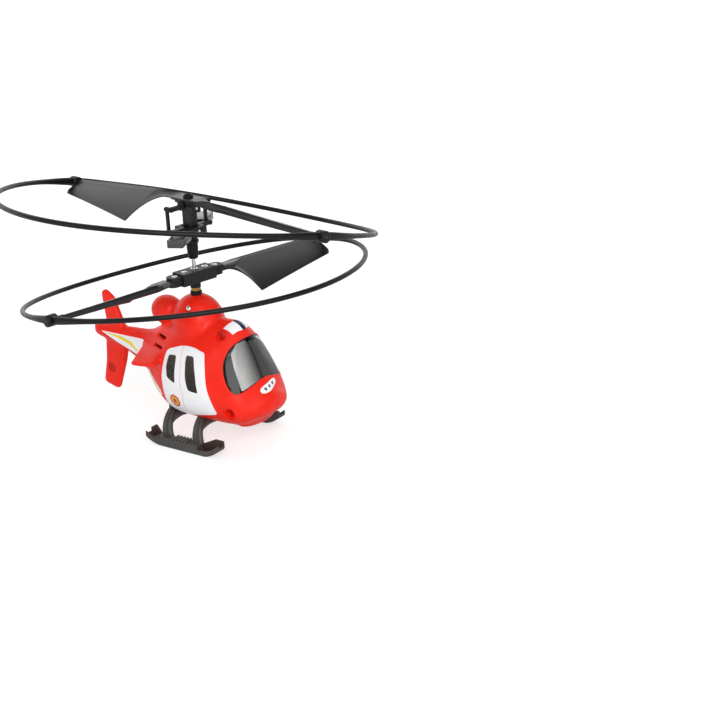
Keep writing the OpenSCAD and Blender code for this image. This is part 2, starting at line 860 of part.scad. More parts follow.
// Section of a blade at distance r: a deep round nose, and a thin cambered paddle that slopes down
function blade_section(r, kind) =
    let (tip_r = kind[0], root_w = kind[4], k = smooth((r - kind[5]) / 10),
         front = root_w / 2 + (lead(r, tip_r) - root_w / 2) * k,
         back = root_w / 2 + (trail(r, tip_r, kind[7]) - root_w / 2) * smooth((r - kind[5]) / 6),
         nose_t = kind[8] * (1 - 0.5 * r / tip_r),
         up = kind[2] * (1 - max(r - upper_flat_r, 0) / (tip_r - upper_flat_r)))
    [for (j = [0:2 * blade_points - 1])
        let (over = j < blade_points,
             c = (over ? j : 2 * blade_points - 1 - j) / (blade_points - 1),
             y = -front + (front + back) * pow(c, 1.2),
             drop = kind[6] * k * max(y, 0) * (1 + 0.10 * k * sin(180 * c)),
             full = kind[3] * (1 - k) + k * (edge_t + (nose_t - edge_t) * pow(1 - c, 5)),
             half = full / 2 * (c < 0.05 ? 0.55 : 1))
        [r, kind[1] * y, up - drop + (over ? half : -half)]];

module blade_form(kind, r0) {
    rings = [for (i = [0:blade_steps]) blade_section(blade_r(i, r0, kind[0]), kind)];
    flipped = [for (r = rings) [for (j = [len(r) - 1:-1:0]) r[j]]];
    skin(kind[1] > 0 ? rings : flipped);
}

module lower_blade(turn) {
    color([0.3, 0.3, 0.32]) on_lower() rotate([0, 0, turn]) translate([0, 0, lower_axis_z])
        difference() {
        union() {
            mesh() blade_form(lower_blade_kind, 5);
            rod_x(tip_pin_d, lower_tip_r - 4, lower_ring_r + boss_w / 2);
        }
        for (x = hub_screw_r) translate([x, 0, 0]) rod_z(1.6, -4, 4);
    }
}

module lower_blade_a() {
    lower_blade(0);
}

module lower_blade_b() {
    lower_blade(180);
}

module upper_blades() {
    color([0.3, 0.3, 0.32]) on_upper() translate([0, 0, upper_axis_z]) difference() {
        union() {
            mesh() for (turn = [0, 180]) rotate([0, 0, turn]) blade_form(upper_blade_kind, -3);
            for (turn = [0, 180])
                rotate([0, 0, turn]) rod_x(tip_pin_d, upper_tip_r - 4, upper_ring_r + boss_w / 2);
        }
        rod_z(1.7, 0, 8);
    }
}

// ---------------------------------------------------------------- rotor head

plate_z0 = 2.5;
plate_z1 = 3.7;

module rotor_post() {
    color([0.12, 0.12, 0.13]) on_upper() difference() {
        union() {
            rod_z(post_d, post_z0, flybar_z - 1);
            block(-post_x / 2, post_x / 2, -post_y / 2, post_y / 2, flybar_z - 2.6, upper_axis_z + 1.6);
        }
        rod_z(inner_d, post_z0 - 1, inner_shaft_top);
        translate([0, 0, upper_axis_z]) rod_x(pivot_d, -10, 10);
        translate([0, 0, flybar_z]) rod_x(pivot_d, -10, 10);
    }
}

module pivot_pins() {
    color("silver") on_upper() {
        translate([0, 0, upper_axis_z]) rod_x(pivot_d, -6.2, 6.2);
        translate([0, 0, flybar_z]) rod_x(pivot_d, -6.8, 6.8);
    }
}

// Arm that carries one link: reaches out along Y and ends in a headed pin along X
module link_arm(side, root_y) {
    block(-1.4, 1.4, side > 0 ? root_y : -link_offset, side > 0 ? link_offset : -root_y,
        link_rise - 1, link_rise + 1);
    translate([0, side * link_offset, link_rise]) {
        rod_x(2.6, -1.4, 1.4);
        rod_x(link_pin_d, 1.2, 3.6);
        rod_x(2, 3.45, 3.9);
    }
}

module head_rocker() {
    color([0.12, 0.12, 0.13]) on_upper() translate([0, 0, upper_axis_z]) difference() {
        union() {
            block(-6.2, 6.2, -4, 4, plate_z0, plate_z1);
            for (x = [-1, 1])
                block(x * 5 - 1.1, x * 5 + 1.1, -2.6, 2.6, -2.2, plate_z1 - 0.2);
            for (side = [-1, 1]) {
                block(-1.4, 1.4, side > 0 ? 3.2 : -6, side > 0 ? 6 : -3.2, link_rise - 1, plate_z1);
                link_arm(side, 4);
            }
        }
        rod_x(pivot_d + 2 * play, -10, 10);
        rod_z(1.7, 2, 5);
    }
}

module cap_screw() {
    color([0.12, 0.12, 0.13]) on_upper() translate([0, 0, upper_axis_z]) union() {
        rod_z(5.4, 5.1, 5.9);
        rod_z(1.7, 2.6, 5.4);
        difference() {
            translate([0, 0, 5.8]) scale([1, 1, 0.62]) sphere(d = 5, $fn = 24);
            block(-4, 4, -4, 4, 3, 5.6);
        }
    }
}

module flybar_hub() {
    color([0.12, 0.12, 0.13]) on_upper() translate([0, 0, flybar_z]) difference() {
        union() {
            block(-6.4, 6.4, -5.4, 5.4, -2, 2);
            rotate([0, 0, flybar_angle]) block(-8.4, 8.4, -2.6, 2.6, -1.4, 1.4);
            for (side = [-1, 1]) link_arm(side, 5);
        }
        block(-4.2, 4.2, -3.7, 3.7, -3, 3);
        rod_x(pivot_d + 2 * play, -10, 10);
        for (y = [-1.5, 1.5]) rotate([0, 0, flybar_angle]) translate([0, y, 0]) rod_x(1.2, -9, -6.6);
        for (y = [-1.5, 1.5]) rotate([0, 0, flybar_angle]) translate([0, y, 0]) rod_x(1.2, 6.6, 9);
    }
}

module flybar_rods() {
    color("silver") on_upper() translate([0, 0, flybar_z]) rotate([0, 0, flybar_angle])
        for (y = [-1.5, 1.5]) translate([0, y, 0]) {
            rod_x(1.2, 6.6, weight_r + 4);
            rod_x(1.2, -weight_r - 4, -6.6);
        }
}

module flybar_weights() {
    color([0.2, 0.2, 0.21]) on_upper() translate([0, 0, flybar_z]) rotate([0, 0, flybar_angle])
        difference() {
        for (s = [-1, 1])
            block(s * weight_r - weight_l / 2, s * weight_r + weight_l / 2, -weight_w / 2, weight_w / 2,
                -weight_t / 2, weight_t / 2);
        for (y = [-1.5, 1.5]) translate([0, y, 0]) rod_x(1.2, -weight_r - 4, weight_r + 4);
    }
}

// Link bar with an eye at each end, on the pins of the rocker and of the flybar hub
module link(side) {
    color([0.12, 0.12, 0.13]) on_upper() translate([0, side * link_offset, flybar_z + link_rise])
        difference() {
        union() {
            translate([1.7, -0.9, 0]) cube([1.5, 1.8, link_drop]);
            for (z = [0, link_drop]) translate([0, 0, z]) rod_x(3, 1.7, 3.2);
        }
        for (z = [0, link_drop]) translate([0, 0, z]) rod_x(link_pin_d + 2 * play, 0, 6);
    }
}

module link_a() {
    link(-1);
}

module link_b() {
    link(1);
}

// ---------------------------------------------------------------- guard rings

hoop_steps = 96;
hoop_points = 8;

// Section of the rod at angle a round the hoop: deeper next to the two tip bosses
function hoop_section(r, sag, a) =
    let (flare = pow(abs(cos(a)), 60), half = ring_rod_d / 2, z0 = -sag * pow(sin(a), 2))
    [for (j = [0:hoop_points - 1])
        let (b = 360 * (j + 0.5) / hoop_points, rr = r + half * cos(b),
             z = z0 + half * (1 + 0.7 * flare) * sin(b))
        [rr * cos(a), rr * sin(a), z]];

module guard_ring(r, sag) {
    difference() {
        mesh() union() {
            hoop_skin([for (i = [0:hoop_steps - 1]) hoop_section(r, sag, 360 * i / hoop_steps)]);
            for (s = [-1, 1]) rod_x(boss_d, s * r - boss_w / 2, s * r + boss_w / 2);
        }
        for (s = [-1, 1]) rod_x(tip_pin_d + 2 * play, s * r - boss_w, s * r + boss_w);
    }
}

module upper_ring() {
    color([0.2, 0.2, 0.2]) on_upper() translate([0, 0, upper_axis_z]) rotate([upper_ring_tilt, 0, 0])
        guard_ring(upper_ring_r, upper_sag);
}

module lower_ring() {
    color([0.2, 0.2, 0.2]) on_lower() translate([0, 0, lower_axis_z]) rotate([lower_ring_tilt, 0, 0])
        guard_ring(lower_ring_r, lower_sag);
}

// ---------------------------------------------------------------- output

right_shell();
left_shell();
windshield();
roof_window();
roof_panels();
right_door();
left_door();
right_door_windows();
left_door_windows();
nose_badge();
right_stripe();
left_stripe();
right_skid();
left_skid();
shell_screws();
chassis();
mast_collar();
upper_bearing();
lower_bearing();
front_motor();
rear_motor();
battery_pack();
circuit_board();
infrared_receiver();
status_light();
charge_socket();
switch_body();
switch_slider();
front_pinion();
front_motor_shaft();
rear_pinion();
rear_motor_shaft();
inner_shaft();
inner_shaft_gear();
rotor_post();
pivot_pins();
outer_shaft();
outer_shaft_gear();
lower_hub();
lower_blade_a();
lower_blade_b();
lower_hub_screws();
shaft_ring();
head_rocker();
upper_blades();
cap_screw();
flybar_hub();
flybar_rods();
flybar_weights();
link_a();
link_b();
upper_ring();
lower_ring();
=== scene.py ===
"""Looks of the toy coaxial helicopter, built round its CAD frame.

Shapes are drawn in mm in the CAD frame (+X nose, +Y port, +Z up), and a finished piece is scaled to metres.
"""
from math import copysign, cos, pi, radians, sin, sqrt

import bmesh
import bpy
import numpy as np
from mathutils import Matrix, Vector


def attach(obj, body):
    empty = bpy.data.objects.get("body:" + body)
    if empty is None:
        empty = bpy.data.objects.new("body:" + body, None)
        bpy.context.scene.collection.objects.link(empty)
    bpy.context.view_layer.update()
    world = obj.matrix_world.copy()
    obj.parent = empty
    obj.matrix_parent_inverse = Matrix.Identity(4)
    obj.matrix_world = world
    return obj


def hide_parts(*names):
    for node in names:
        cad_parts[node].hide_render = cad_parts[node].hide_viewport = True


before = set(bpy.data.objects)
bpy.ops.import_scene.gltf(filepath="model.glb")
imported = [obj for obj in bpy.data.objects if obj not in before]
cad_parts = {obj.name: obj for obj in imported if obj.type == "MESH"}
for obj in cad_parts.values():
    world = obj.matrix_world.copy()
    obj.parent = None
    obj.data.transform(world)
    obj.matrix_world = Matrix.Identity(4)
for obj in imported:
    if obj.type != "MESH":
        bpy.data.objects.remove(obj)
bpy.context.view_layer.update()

MM = 0.001
SIDES = ((-1, "right"), (1, "left"))

# ---------- values shared with the CAD part
UPPER_Z, LOWER_Z = 125.5, 88.3
UPPER_TURN, LOWER_TURN = 171, 260
UPPER_R, LOWER_R = 97.5, 90.5
ROD_D = 2.6
UPPER_TILT, LOWER_TILT = 13, 9
UPPER_SAG, LOWER_SAG = 6, 4.4
HALF_W = 24
WALL = 1.6
BOSS_D, BOSS_W = 6, 6
PIN_D, PIN_PLAY = 2.4, 0.06
LINK_OFFSET, LINK_DROP, LINK_RISE = 12.6, 12, 1
FLYBAR_Z = UPPER_Z - LINK_DROP
FLYBAR_TURN = 123
HUB_TOP, HUB_BASE = LOWER_Z + 3.7, LOWER_Z - 2.9
# screws of the lower hub: distance from the mast, depth of the seat
HUB_SCREWS = ((6.9, 0.5), (13.4, 1.3))
CROWN_N, FLOOR_N = 1.54, 2.67
# distance from the mast, floor, widest level, roof, half width share
BULKHEADS = np.array([
    (-77, 46.5, 48.3, 50.5, 0.05), (-74, 44, 47.8, 51.2, 0.15), (-62, 41.5, 46.8, 51.4, 0.2),
    (-48, 37.5, 45, 52, 0.27), (-34, 29, 42.5, 53.4, 0.37), (-22, 19.7, 37, 59.6, 0.67),
    (-10, 13.9, 35.7, 63.6, 0.91), (4, 12.5, 35.3, 66.2, 1), (18, 12.6, 34.8, 67.4, 1.01),
    (30, 12.8, 31, 65.2, 0.93), (38, 14.5, 27.1, 50.3, 0.86), (44, 18.3, 25, 34.5, 0.65),
    (47, 20, 25.1, 30.8, 0.46), (49, 23.6, 25.3, 27.4, 0.19)])
# screws of the shells: distance from the mast, height, depth of the seat, length beyond the middle plane
SCREW_SITES = ((22.9, 61.4, 7.5, 6), (34.5, 24.1, 16.5, 8), (-65.4, 26, 1.2, 1.6))
# screw of the collar: distance from the mast, height, depth of the seat, where its thread ends
COLLAR_SCREW = (2, 72.9, 9, 3.4)
LIGHT_X, LIGHT_Z = -2.8, 39.4
LEG_X, LEG_FOOT_Y, LEG_W, LEG_T = (-10.5, 10.4), 14, 4.4, 2.6
SKID_Y, RUNNER_W = 26, 6
RUNNER_X = (-19, 31.5)
FLAT_X = (-9, 21)
REAR_RISE, FRONT_RISE = 3.4, 5
PIVOT_BORE = 1.72


# ---------- mesh helpers

def linked(name, data):
    obj = bpy.data.objects.new(name, data)
    bpy.context.scene.collection.objects.link(obj)
    return obj


def solid(points, faces):
    """Closed mesh object from points and faces, normals outwards."""
    mesh = bpy.data.meshes.new("solid")
    mesh.from_pydata([tuple(map(float, p)) for p in points], [], [list(map(int, f)) for f in faces])
    bm = bmesh.new()
    bm.from_mesh(mesh)
    bmesh.ops.recalc_face_normals(bm, faces=bm.faces)
    bm.to_mesh(mesh)
    bm.free()
    return linked("solid", mesh)


def ring_faces(rows, cols, closed_rows):
    faces = []
    for i in range(rows if closed_rows else rows - 1):
        a, b = i * cols, ((i + 1) % rows) * cols
        for j in range(cols):
            k = (j + 1) % cols
            faces.append((a + j, a + k, b + k, b + j))
    return faces


def skin(rings, closed=False):
    """Skin over rings of points: capped at both ends, or closed into a hoop."""
    rings = np.asarray(rings, float)
    rows, cols = rings.shape[:2]
    faces = ring_faces(rows, cols, closed)
    if not closed:
        faces.append(tuple(range(cols)))
        faces.append(tuple((rows - 1) * cols + j for j in range(cols)))
    return solid(rings.reshape(-1, 3), faces)


def remove(obj):
    mesh = obj.data
    bpy.data.objects.remove(obj, do_unlink=True)
    bpy.data.meshes.remove(mesh)


def bake(obj):
    """Replaces the mesh by the result of the modifiers."""
    graph = bpy.context.evaluated_depsgraph_get()
    graph.update()
    old = obj.data
    mesh = bpy.data.meshes.new_from_object(obj.evaluated_get(graph))
    obj.modifiers.clear()
    obj.data = mesh
    bpy.data.meshes.remove(old)
    return obj


def bevelled(obj, width, segments=3, angle=40):
    """Rounds the edges that are sharper than the angle."""
    mod = obj.modifiers.new("bevel", "BEVEL")
    mod.width = width
    mod.segments = segments
    mod.limit_method = "ANGLE"
    mod.angle_limit = radians(angle)
    return bake(obj)


def boolean(obj, tools, operation):
    for tool in tools:
        mod = obj.modifiers.new("boolean", "BOOLEAN")
        mod.operation = operation
        mod.solver = "MANIFOLD"
        mod.object = tool
    bake(obj)
    for tool in tools:
        remove(tool)
    return obj


def union(parts):
    return boolean(parts[0], parts[1:], "UNION") if len(parts) > 1 else parts[0]


def cut(obj, *tools):
    return boolean(obj, tools, "DIFFERENCE")


def common(obj, *tools):
    return boolean(obj, tools, "INTERSECT")


def moved(obj, matrix):
    obj.data.transform(matrix)
    if matrix.is_negative:
        obj.data.flip_normals()
    return obj


def shift(x, y, z):
    return Matrix.Translation((x, y, z))


def turn(axis, degrees):
    return Matrix.Rotation(radians(degrees), 4, axis)


def at(obj, x, y=0, z=0):
    return moved(obj, shift(x, y, z))


def copy(obj):
    return linked(obj.name, obj.data.copy())


def span(side, near, far):
    """Low and high end of a stretch from near to far on one side of the middle."""
    return sorted((side * near, side * far))


def block(x0, x1, y0, y1, z0, z1):
    points = [(x, y, z) for x in (x0, x1) for y in (y0, y1) for z in (z0, z1)]
    faces = [(0, 1, 3, 2), (4, 6, 7, 5), (0, 4, 5, 1), (2, 3, 7, 6), (0, 2, 6, 4), (1, 5, 7, 3)]
    return solid(points, faces)


AXIS_TURN = {"x": turn("Y", 90), "y": turn("X", -90), "z": Matrix.Identity(4)}


def turned(profile, axis="z", steps=64):
    """Solid of revolution of an open profile of (radius, height)."""
    angles = np.arange(steps) * 2 * pi / steps
    rows = [(r, h) for r, h in profile if r > 1e-6]
    points = [(r * cos(a), r * sin(a), h) for r, h in rows for a in angles]
    faces = ring_faces(len(rows), steps, False)
    for end, first in ((profile[0], 0), (profile[-1], (len(rows) - 1) * steps)):
        if end[0] <= 1e-6:
            points.append((0, 0, end[1]))
            faces += [(first + j, first + (j + 1) % steps, len(points) - 1) for j in range(steps)]
        else:
            faces.append(tuple(first + j for j in range(steps)))
    return moved(solid(points, faces), AXIS_TURN[axis])


def rod(axis, d, a0, a1, edge=0.0, steps=64):
    """Round bar along an axis from a0 to a1, with rounded rims if edge is given."""
    r = d / 2
    if edge:
        arc = [(sin(t), cos(t)) for t in np.linspace(0, pi / 2, 4)]
        low = [(r - edge + edge * s, a0 + edge - edge * c) for s, c in arc]
        high = [(r - edge + edge * c, a1 - edge + edge * s) for s, c in arc]
        return turned([(0, a0)] + low + high + [(0, a1)], axis, steps)
    return turned([(0, a0), (r, a0), (r, a1), (0, a1)], axis, steps)


def ellipsoid(center, radii, rings=28, steps=48):
    profile = [(cos(t), sin(t)) for t in np.linspace(-pi / 2, pi / 2, rings)]
    profile[0], profile[-1] = (0, -1), (0, 1)
    return moved(turned(profile, "z", steps), shift(*center) @ Matrix.Diagonal((*radii, 1)))


def hull(parts):
    bm = bmesh.new()
    for part in parts:
        for vertex in part.data.vertices:
            bm.verts.new(vertex.co)
        remove(part)
    result = bmesh.ops.convex_hull(bm, input=bm.verts)
    loose = set(result["geom_interior"]) | set(result["geom_unused"])
    bmesh.ops.delete(bm, geom=[g for g in loose if isinstance(g, bmesh.types.BMVert)], context="VERTS")
    mesh = bpy.data.meshes.new("hull")
    bm.to_mesh(mesh)
    bm.free()
    return linked("hull", mesh)


def rounded(points, r, own=()):
    """Polygon with its corners rounded by roughly r; own holds (corner, radius) exceptions."""
    points = [Vector(p) for p in points]
    own = dict(own)
    out = []
    for i, p in enumerate(points):
        before, after = points[i - 1] - p, points[(i + 1) % len(points)] - p
        a = p + before.normalized() * min(own.get(i, r), before.length * 0.48)
        b = p + after.normalized() * min(own.get(i, r), after.length * 0.48)
        out += [(1 - t) ** 2 * a + 2 * t * (1 - t) * p + t * t * b for t in np.linspace(0, 1, 7)]
    return [tuple(p) for p in out]


def smooth_outline(points, rounds):
    """Corner cutting: turns a coarse polygon into a flowing one."""
    p = np.array(points, float)
    for _ in range(rounds):
        q = np.roll(p, -1, axis=0)
        p = np.stack([0.75 * p + 0.25 * q, 0.25 * p + 0.75 * q], axis=1).reshape(-1, 2)
    return [tuple(v) for v in p]


def grown(points, distance):
    """Polygon moved outwards by distance, for small distances."""
    p = np.array(points, float)
    area = np.sum(p[:, 0] * np.roll(p[:, 1], -1) - np.roll(p[:, 0], -1) * p[:, 1])
    tangent = np.roll(p, -1, axis=0) - np.roll(p, 1, axis=0)
    tangent /= np.linalg.norm(tangent, axis=1, keepdims=True) + 1e-9
    normal = np.stack([tangent[:, 1], -tangent[:, 0]], axis=1) * np.sign(area)
    return [tuple(v) for v in p + distance * normal]


def prism(outline, plane, a0, a1):
    """Prism of an outline drawn in a plane (xz or yz or xy), between a0 and a1 across it."""
    order = {"xz": (0, 2, 1), "yz": (2, 0, 1), "xy": (0, 1, 2)}[plane]
    n = len(outline)
    points = [[(u, v, w)[i] for i in order] for w in (a0, a1) for u, v in outline]
    sides = [(i, (i + 1) % n, n + (i + 1) % n, n + i) for i in range(n)]
    return solid(points, [tuple(range(n)), tuple(range(n, 2 * n))] + sides)


def sweep(path, radius, steps, closed=False):
    """Round bead along a path of points."""
    path = [Vector(p) for p in path]
    n = len(path)
    rings = []
    side = None
    for i, p in enumerate(path):
        ahead = path[(i + 1) % n] if closed or i < n - 1 else p
        behind = path[i - 1] if closed or i > 0 else p
        way = (ahead - behind).normalized()
        if side is None:
            side = way.orthogonal().normalized()
        side = (side - way * side.dot(way)).normalized()
        up = way.cross(side)
        rings.append([tuple(p + radius * (cos(t) * side + sin(t) * up))
                      for t in np.arange(steps) * 2 * pi / steps])
    return skin(rings, closed)


def finish(obj, name, body, paint, replaces=(), bevel=0.0, angle=40, segments=3):
    """Names a piece, rounds its edges, shades it, scales it to metres and ties it to its body."""
    obj.name = obj.data.name = name
    if bevel:
        bevelled(obj, bevel, segments)
    bm = bmesh.new()
    bm.from_mesh(obj.data)
    bmesh.ops.remove_doubles(bm, verts=bm.verts, dist=1e-4)
    bmesh.ops.dissolve_degenerate(bm, edges=bm.edges, dist=1e-4)
    bm.to_mesh(obj.data)
    bm.free()
    obj.data.transform(Matrix.Scale(MM, 4))
    obj.data.shade_smooth()
    obj.data.set_sharp_from_angle(angle=radians(angle))
    obj.data.materials.clear()
    obj.data.materials.append(paint)
    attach(obj, body)
    if replaces:
        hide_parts(*replaces)
    return obj


# ---------- materials

def map_range(tree, source, low, high, start, end):
    """Output of a node that maps the source from low..high to start..end; start may be an output too."""
    node = tree.nodes.new("ShaderNodeMapRange")
    values = {"Value": source, "From Min": low, "From Max": high, "To Min": start, "To Max": end}
    for key, value in values.items():
        if isinstance(value, bpy.types.NodeSocket):
            tree.links.new(value, node.inputs[key])
        else:
            node.inputs[key].default_value = value
    return node.outputs["Result"]


def material(name, base, rough=0.4, metal=0.0, coat=0.0, vary=0.06, rough_vary=0.08, bump=0.02, grain=1.2,
             wear=0.0, soft=0.0, specular=0.5, second=None, blend=None, stretch=(1000, 1000, 1000)):
    """Procedural finish: colour variation, roughness variation, fine bump, paler worn edges."""
    mat = bpy.data.materials.new(name)
    mat.use_nodes = True
    tree = mat.node_tree
    node, link = tree.nodes, tree.links
    shader = node["Principled BSDF"]
    coords = node.new("ShaderNodeTexCoord")
    scale = node.new("ShaderNodeMapping")
    scale.inputs["Scale"].default_value = stretch
    link.new(coords.outputs["Object"], scale.inputs["Vector"])

    def noise(frequency, detail):
        tex = node.new("ShaderNodeTexNoise")
        tex.inputs["Scale"].default_value = frequency
        tex.inputs["Detail"].default_value = detail
        link.new(scale.outputs["Vector"], tex.inputs["Vector"])
        return tex.outputs["Fac"]

    def mix(fac, a, b):
        m = node.new("ShaderNodeMix")
        m.data_type = "RGBA"
        link.new(fac, m.inputs["Factor"])
        for value, socket in ((a, m.inputs[6]), (b, m.inputs[7])):
            if isinstance(value, tuple):
                socket.default_value = (*value, 1)
            else:
                link.new(value, socket)
        return m.outputs[2]

    def scaled(color, k):
        return tuple(min(c * k, 1) for c in color)

    patches = map_range(tree, noise(0.09, 3), 0.35, 0.65, 0, 1)
    colour = mix(patches, scaled(base, 1 - vary), scaled(base, 1 + vary))
    if second:
        axis, start, end = blend
        split = node.new("ShaderNodeSeparateXYZ")
        link.new(scale.outputs["Vector"], split.inputs["Vector"])
        colour = mix(map_range(tree, split.outputs[axis], start, end, 0, 1), colour, second)
    if wear:
        geometry = node.new("ShaderNodeNewGeometry")
        edge = map_range(tree, geometry.outputs["Pointiness"], 0.53, 0.62, 0, wear)
        colour = mix(edge, colour, tuple(0.6 * c + 0.12 for c in base))
    link.new(colour, shader.inputs["Base Color"])
    rough_span = (max(rough - rough_vary, 0.02), rough + rough_vary)
    link.new(map_range(tree, noise(0.35, 5), 0.3, 0.7, *rough_span), shader.inputs["Roughness"])
    values = {"Metallic": metal, "Coat Weight": coat, "Coat Roughness": 0.08, "Specular IOR Level": specular}
    if soft:
        values.update({"Subsurface Weight": soft, "Subsurface Radius": (0.002, 0.0006, 0.0004)})
    for key, value in values.items():
        shader.inputs[key].default_value = value
    if bump:
        relief = node.new("ShaderNodeBump")
        relief.inputs["Strength"].default_value = 1
        relief.inputs["Distance"].default_value = bump * MM
        link.new(noise(grain, 3), relief.inputs["Height"])
        link.new(relief.outputs["Normal"], shader.inputs["Normal"])
    return mat


RED = material("red_moulded_plastic", (0.90, 0.019, 0.006), rough=0.38, coat=0.03, vary=0.04, rough_vary=0.05,
               bump=0.008, grain=0.9, wear=0.05, soft=0.03, specular=0.25)
BLACK_GLOSS = material("black_gloss_window", (0.002, 0.002, 0.002), rough=0.14, vary=0.2, rough_vary=0.03,
                       bump=0.002, specular=0.35)
# painted reflections on the windshield glass: light on the starboard pane, darkening towards the middle, and
# dim on the port pane, darkening towards its outer edge
PANE_REFLECTION_STARBOARD = material("painted_reflection_starboard_pane", (0.46, 0.46, 0.45), rough=0.2, rough_vary=0.03, bump=0.002,
                     specular=0.4, second=(0.03, 0.03, 0.03), blend=("Y", -13, -2))
PANE_REFLECTION_PORT = material("painted_reflection_port_pane", (0.055, 0.055, 0.055), rough=0.2, rough_vary=0.03, bump=0.002,
                      specular=0.35, second=(0.012, 0.012, 0.012), blend=("Y", 2, 13))
# painted highlight strip along the port edge of the windshield glass
PANE_EDGE_HIGHLIGHT = material("painted_highlight_pane_edge", (0.42, 0.43, 0.45), rough=0.18, coat=0.3, bump=0.004)
WHITE = material("white_label", (0.94, 0.94, 0.96), rough=0.34, vary=0.008, rough_vary=0.03, bump=0.002,
                 grain=2.5, specular=0.4)
NAVY = material("navy_label", (0.012, 0.018, 0.06), rough=0.25, coat=0.2, vary=0.1, bump=0.005)
YELLOW = material("yellow_label", (0.85, 0.70, 0.03), rough=0.32, vary=0.04, bump=0.006, grain=2.5)
EMBLEM_RED = material("emblem_red", (0.62, 0.02, 0.015), rough=0.32, bump=0.006)
EMBLEM_GOLD = material("emblem_gold", (0.80, 0.45, 0.03), rough=0.32, bump=0.006)
SIDE_PANE = material("side_window_print", (0.012, 0.011, 0.008), rough=0.3, bump=0.003, specular=0.3,
                     second=(0.060, 0.055, 0.042), blend=("Z", 34, 52))
SKID_GREY = material("skid_grey_plastic", (0.060, 0.058, 0.055), rough=0.42, vary=0.08, bump=0.02, grain=2.2,
                     wear=0.3, specular=0.45)
# painted shade for the channels in the runner ends, reddish from a painted reflection of the red body
SKID_PAINTED_SHADE = material("skid_channel_shade", (0.045, 0.022, 0.018), rough=0.55, vary=0.1, bump=0.03, grain=2.2,
                      wear=0.1)
BLADE_GREY = material("blade_grey_plastic", (0.008, 0.0083, 0.009), rough=0.32, vary=0.05, rough_vary=0.04,
                      bump=0.001, specular=0.42)
BLADE_PALE = material("blade_pale_plastic", (0.060, 0.062, 0.066), rough=0.30, vary=0.05, rough_vary=0.04,
                      bump=0.003, wear=0.1, specular=0.6)
RING_BLACK = material("ring_black_plastic", (0.004, 0.0036, 0.0034), rough=0.36, vary=0.1, bump=0.004,
                      wear=0.04, specular=0.25)
HEAD_BLACK = material("head_black_plastic", (0.0035, 0.003, 0.0028), rough=0.40, vary=0.12, bump=0.008,
                      grain=2, wear=0.1, specular=0.22)
WEIGHT_GREY = material("weight_grey_plastic", (0.010, 0.010, 0.011), rough=0.22, bump=0.002, rough_vary=0.03,
                       wear=0.15, specular=0.8)
STEEL = material("brushed_steel", (0.62, 0.60, 0.57), rough=0.22, metal=1, vary=0.08, bump=0.01,
                 stretch=(1000, 1000, 120), grain=3)
SCREW_STEEL = material("screw_steel", (0.68, 0.67, 0.65), rough=0.18, metal=1, vary=0.1, bump=0.008, grain=3)
RED_SCREW = material("red_painted_screw", (0.60, 0.012, 0.008), rough=0.4, vary=0.08, bump=0.008, wear=0.1,
                     specular=0.3)
BRASS = material("brass", (0.50, 0.29, 0.06), rough=0.28, metal=1, vary=0.1, bump=0.008, grain=3)
NYLON = material("ivory_nylon", (0.72, 0.68, 0.56), rough=0.45, vary=0.04, bump=0.012, soft=0.1, wear=0.1)
BATTERY = material("battery_wrap", (0.05, 0.11, 0.32), rough=0.35, vary=0.1, bump=0.05, grain=0.4)
BOARD = material("board_green", (0.015, 0.16, 0.05), rough=0.42, vary=0.15, bump=0.04, grain=1)
RED_LENS = material("red_lens", (0.45, 0.01, 0.01), rough=0.12, coat=0.5, vary=0.1, bump=0.003)
BLACK_PLASTIC = material("black_plastic", (0.03, 0.03, 0.032), rough=0.42, vary=0.1, bump=0.02, wear=0.2)

# CAD nodes shown as they are, most of them inside the cabin
CAD_FINISH = (
    (BLACK_PLASTIC, "black_plastic", ("chassis", "infrared_receiver", "charge_socket", "switch_slider")),
    (STEEL, "steel", ("front_motor", "rear_motor", "switch_body", "front_motor_shaft", "rear_motor_shaft",
                      "inner_shaft", "outer_shaft", "pivot_pins")),
    (BRASS, "brass", ("upper_bearing", "lower_bearing", "front_pinion", "rear_pinion")),
    (NYLON, "gear_nylon", ("inner_shaft_gear", "outer_shaft_gear")),
    (BATTERY, "battery_wrap", ("battery_pack",)),
    (BOARD, "board_green", ("circuit_board",)),
)
for paint, slot_name, names in CAD_FINISH:
    for name in names:
        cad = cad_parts[name]
        cad.data.materials.clear()
        cad.data.materials.append(paint)


# ---------- fuselage form

def body_at(x, k):
    """Smooth value of column k of the bulkhead list at distances x."""
    x = np.asarray(x, float)
    xs, v = BULKHEADS[:, 0], BULKHEADS[:, k]
    slope = np.empty_like(v)
    slope[1:-1] = (v[2:] - v[:-2]) / (xs[2:] - xs[:-2])
    slope[0], slope[-1] = (v[1] - v[0]) / (xs[1] - xs[0]), (v[-1] - v[-2]) / (xs[-1] - xs[-2])
    i = np.clip(np.searchsorted(xs, x, side="left") - 1, 0, len(xs) - 2)
    h = xs[i + 1] - xs[i]
    t = (x - xs[i]) / h
    return ((2 * t**3 - 3 * t**2 + 1) * v[i] + (t**3 - 2 * t**2 + t) * h * slope[i]
            + (3 * t**2 - 2 * t**3) * v[i + 1] + (t**3 - t**2) * h * slope[i + 1])


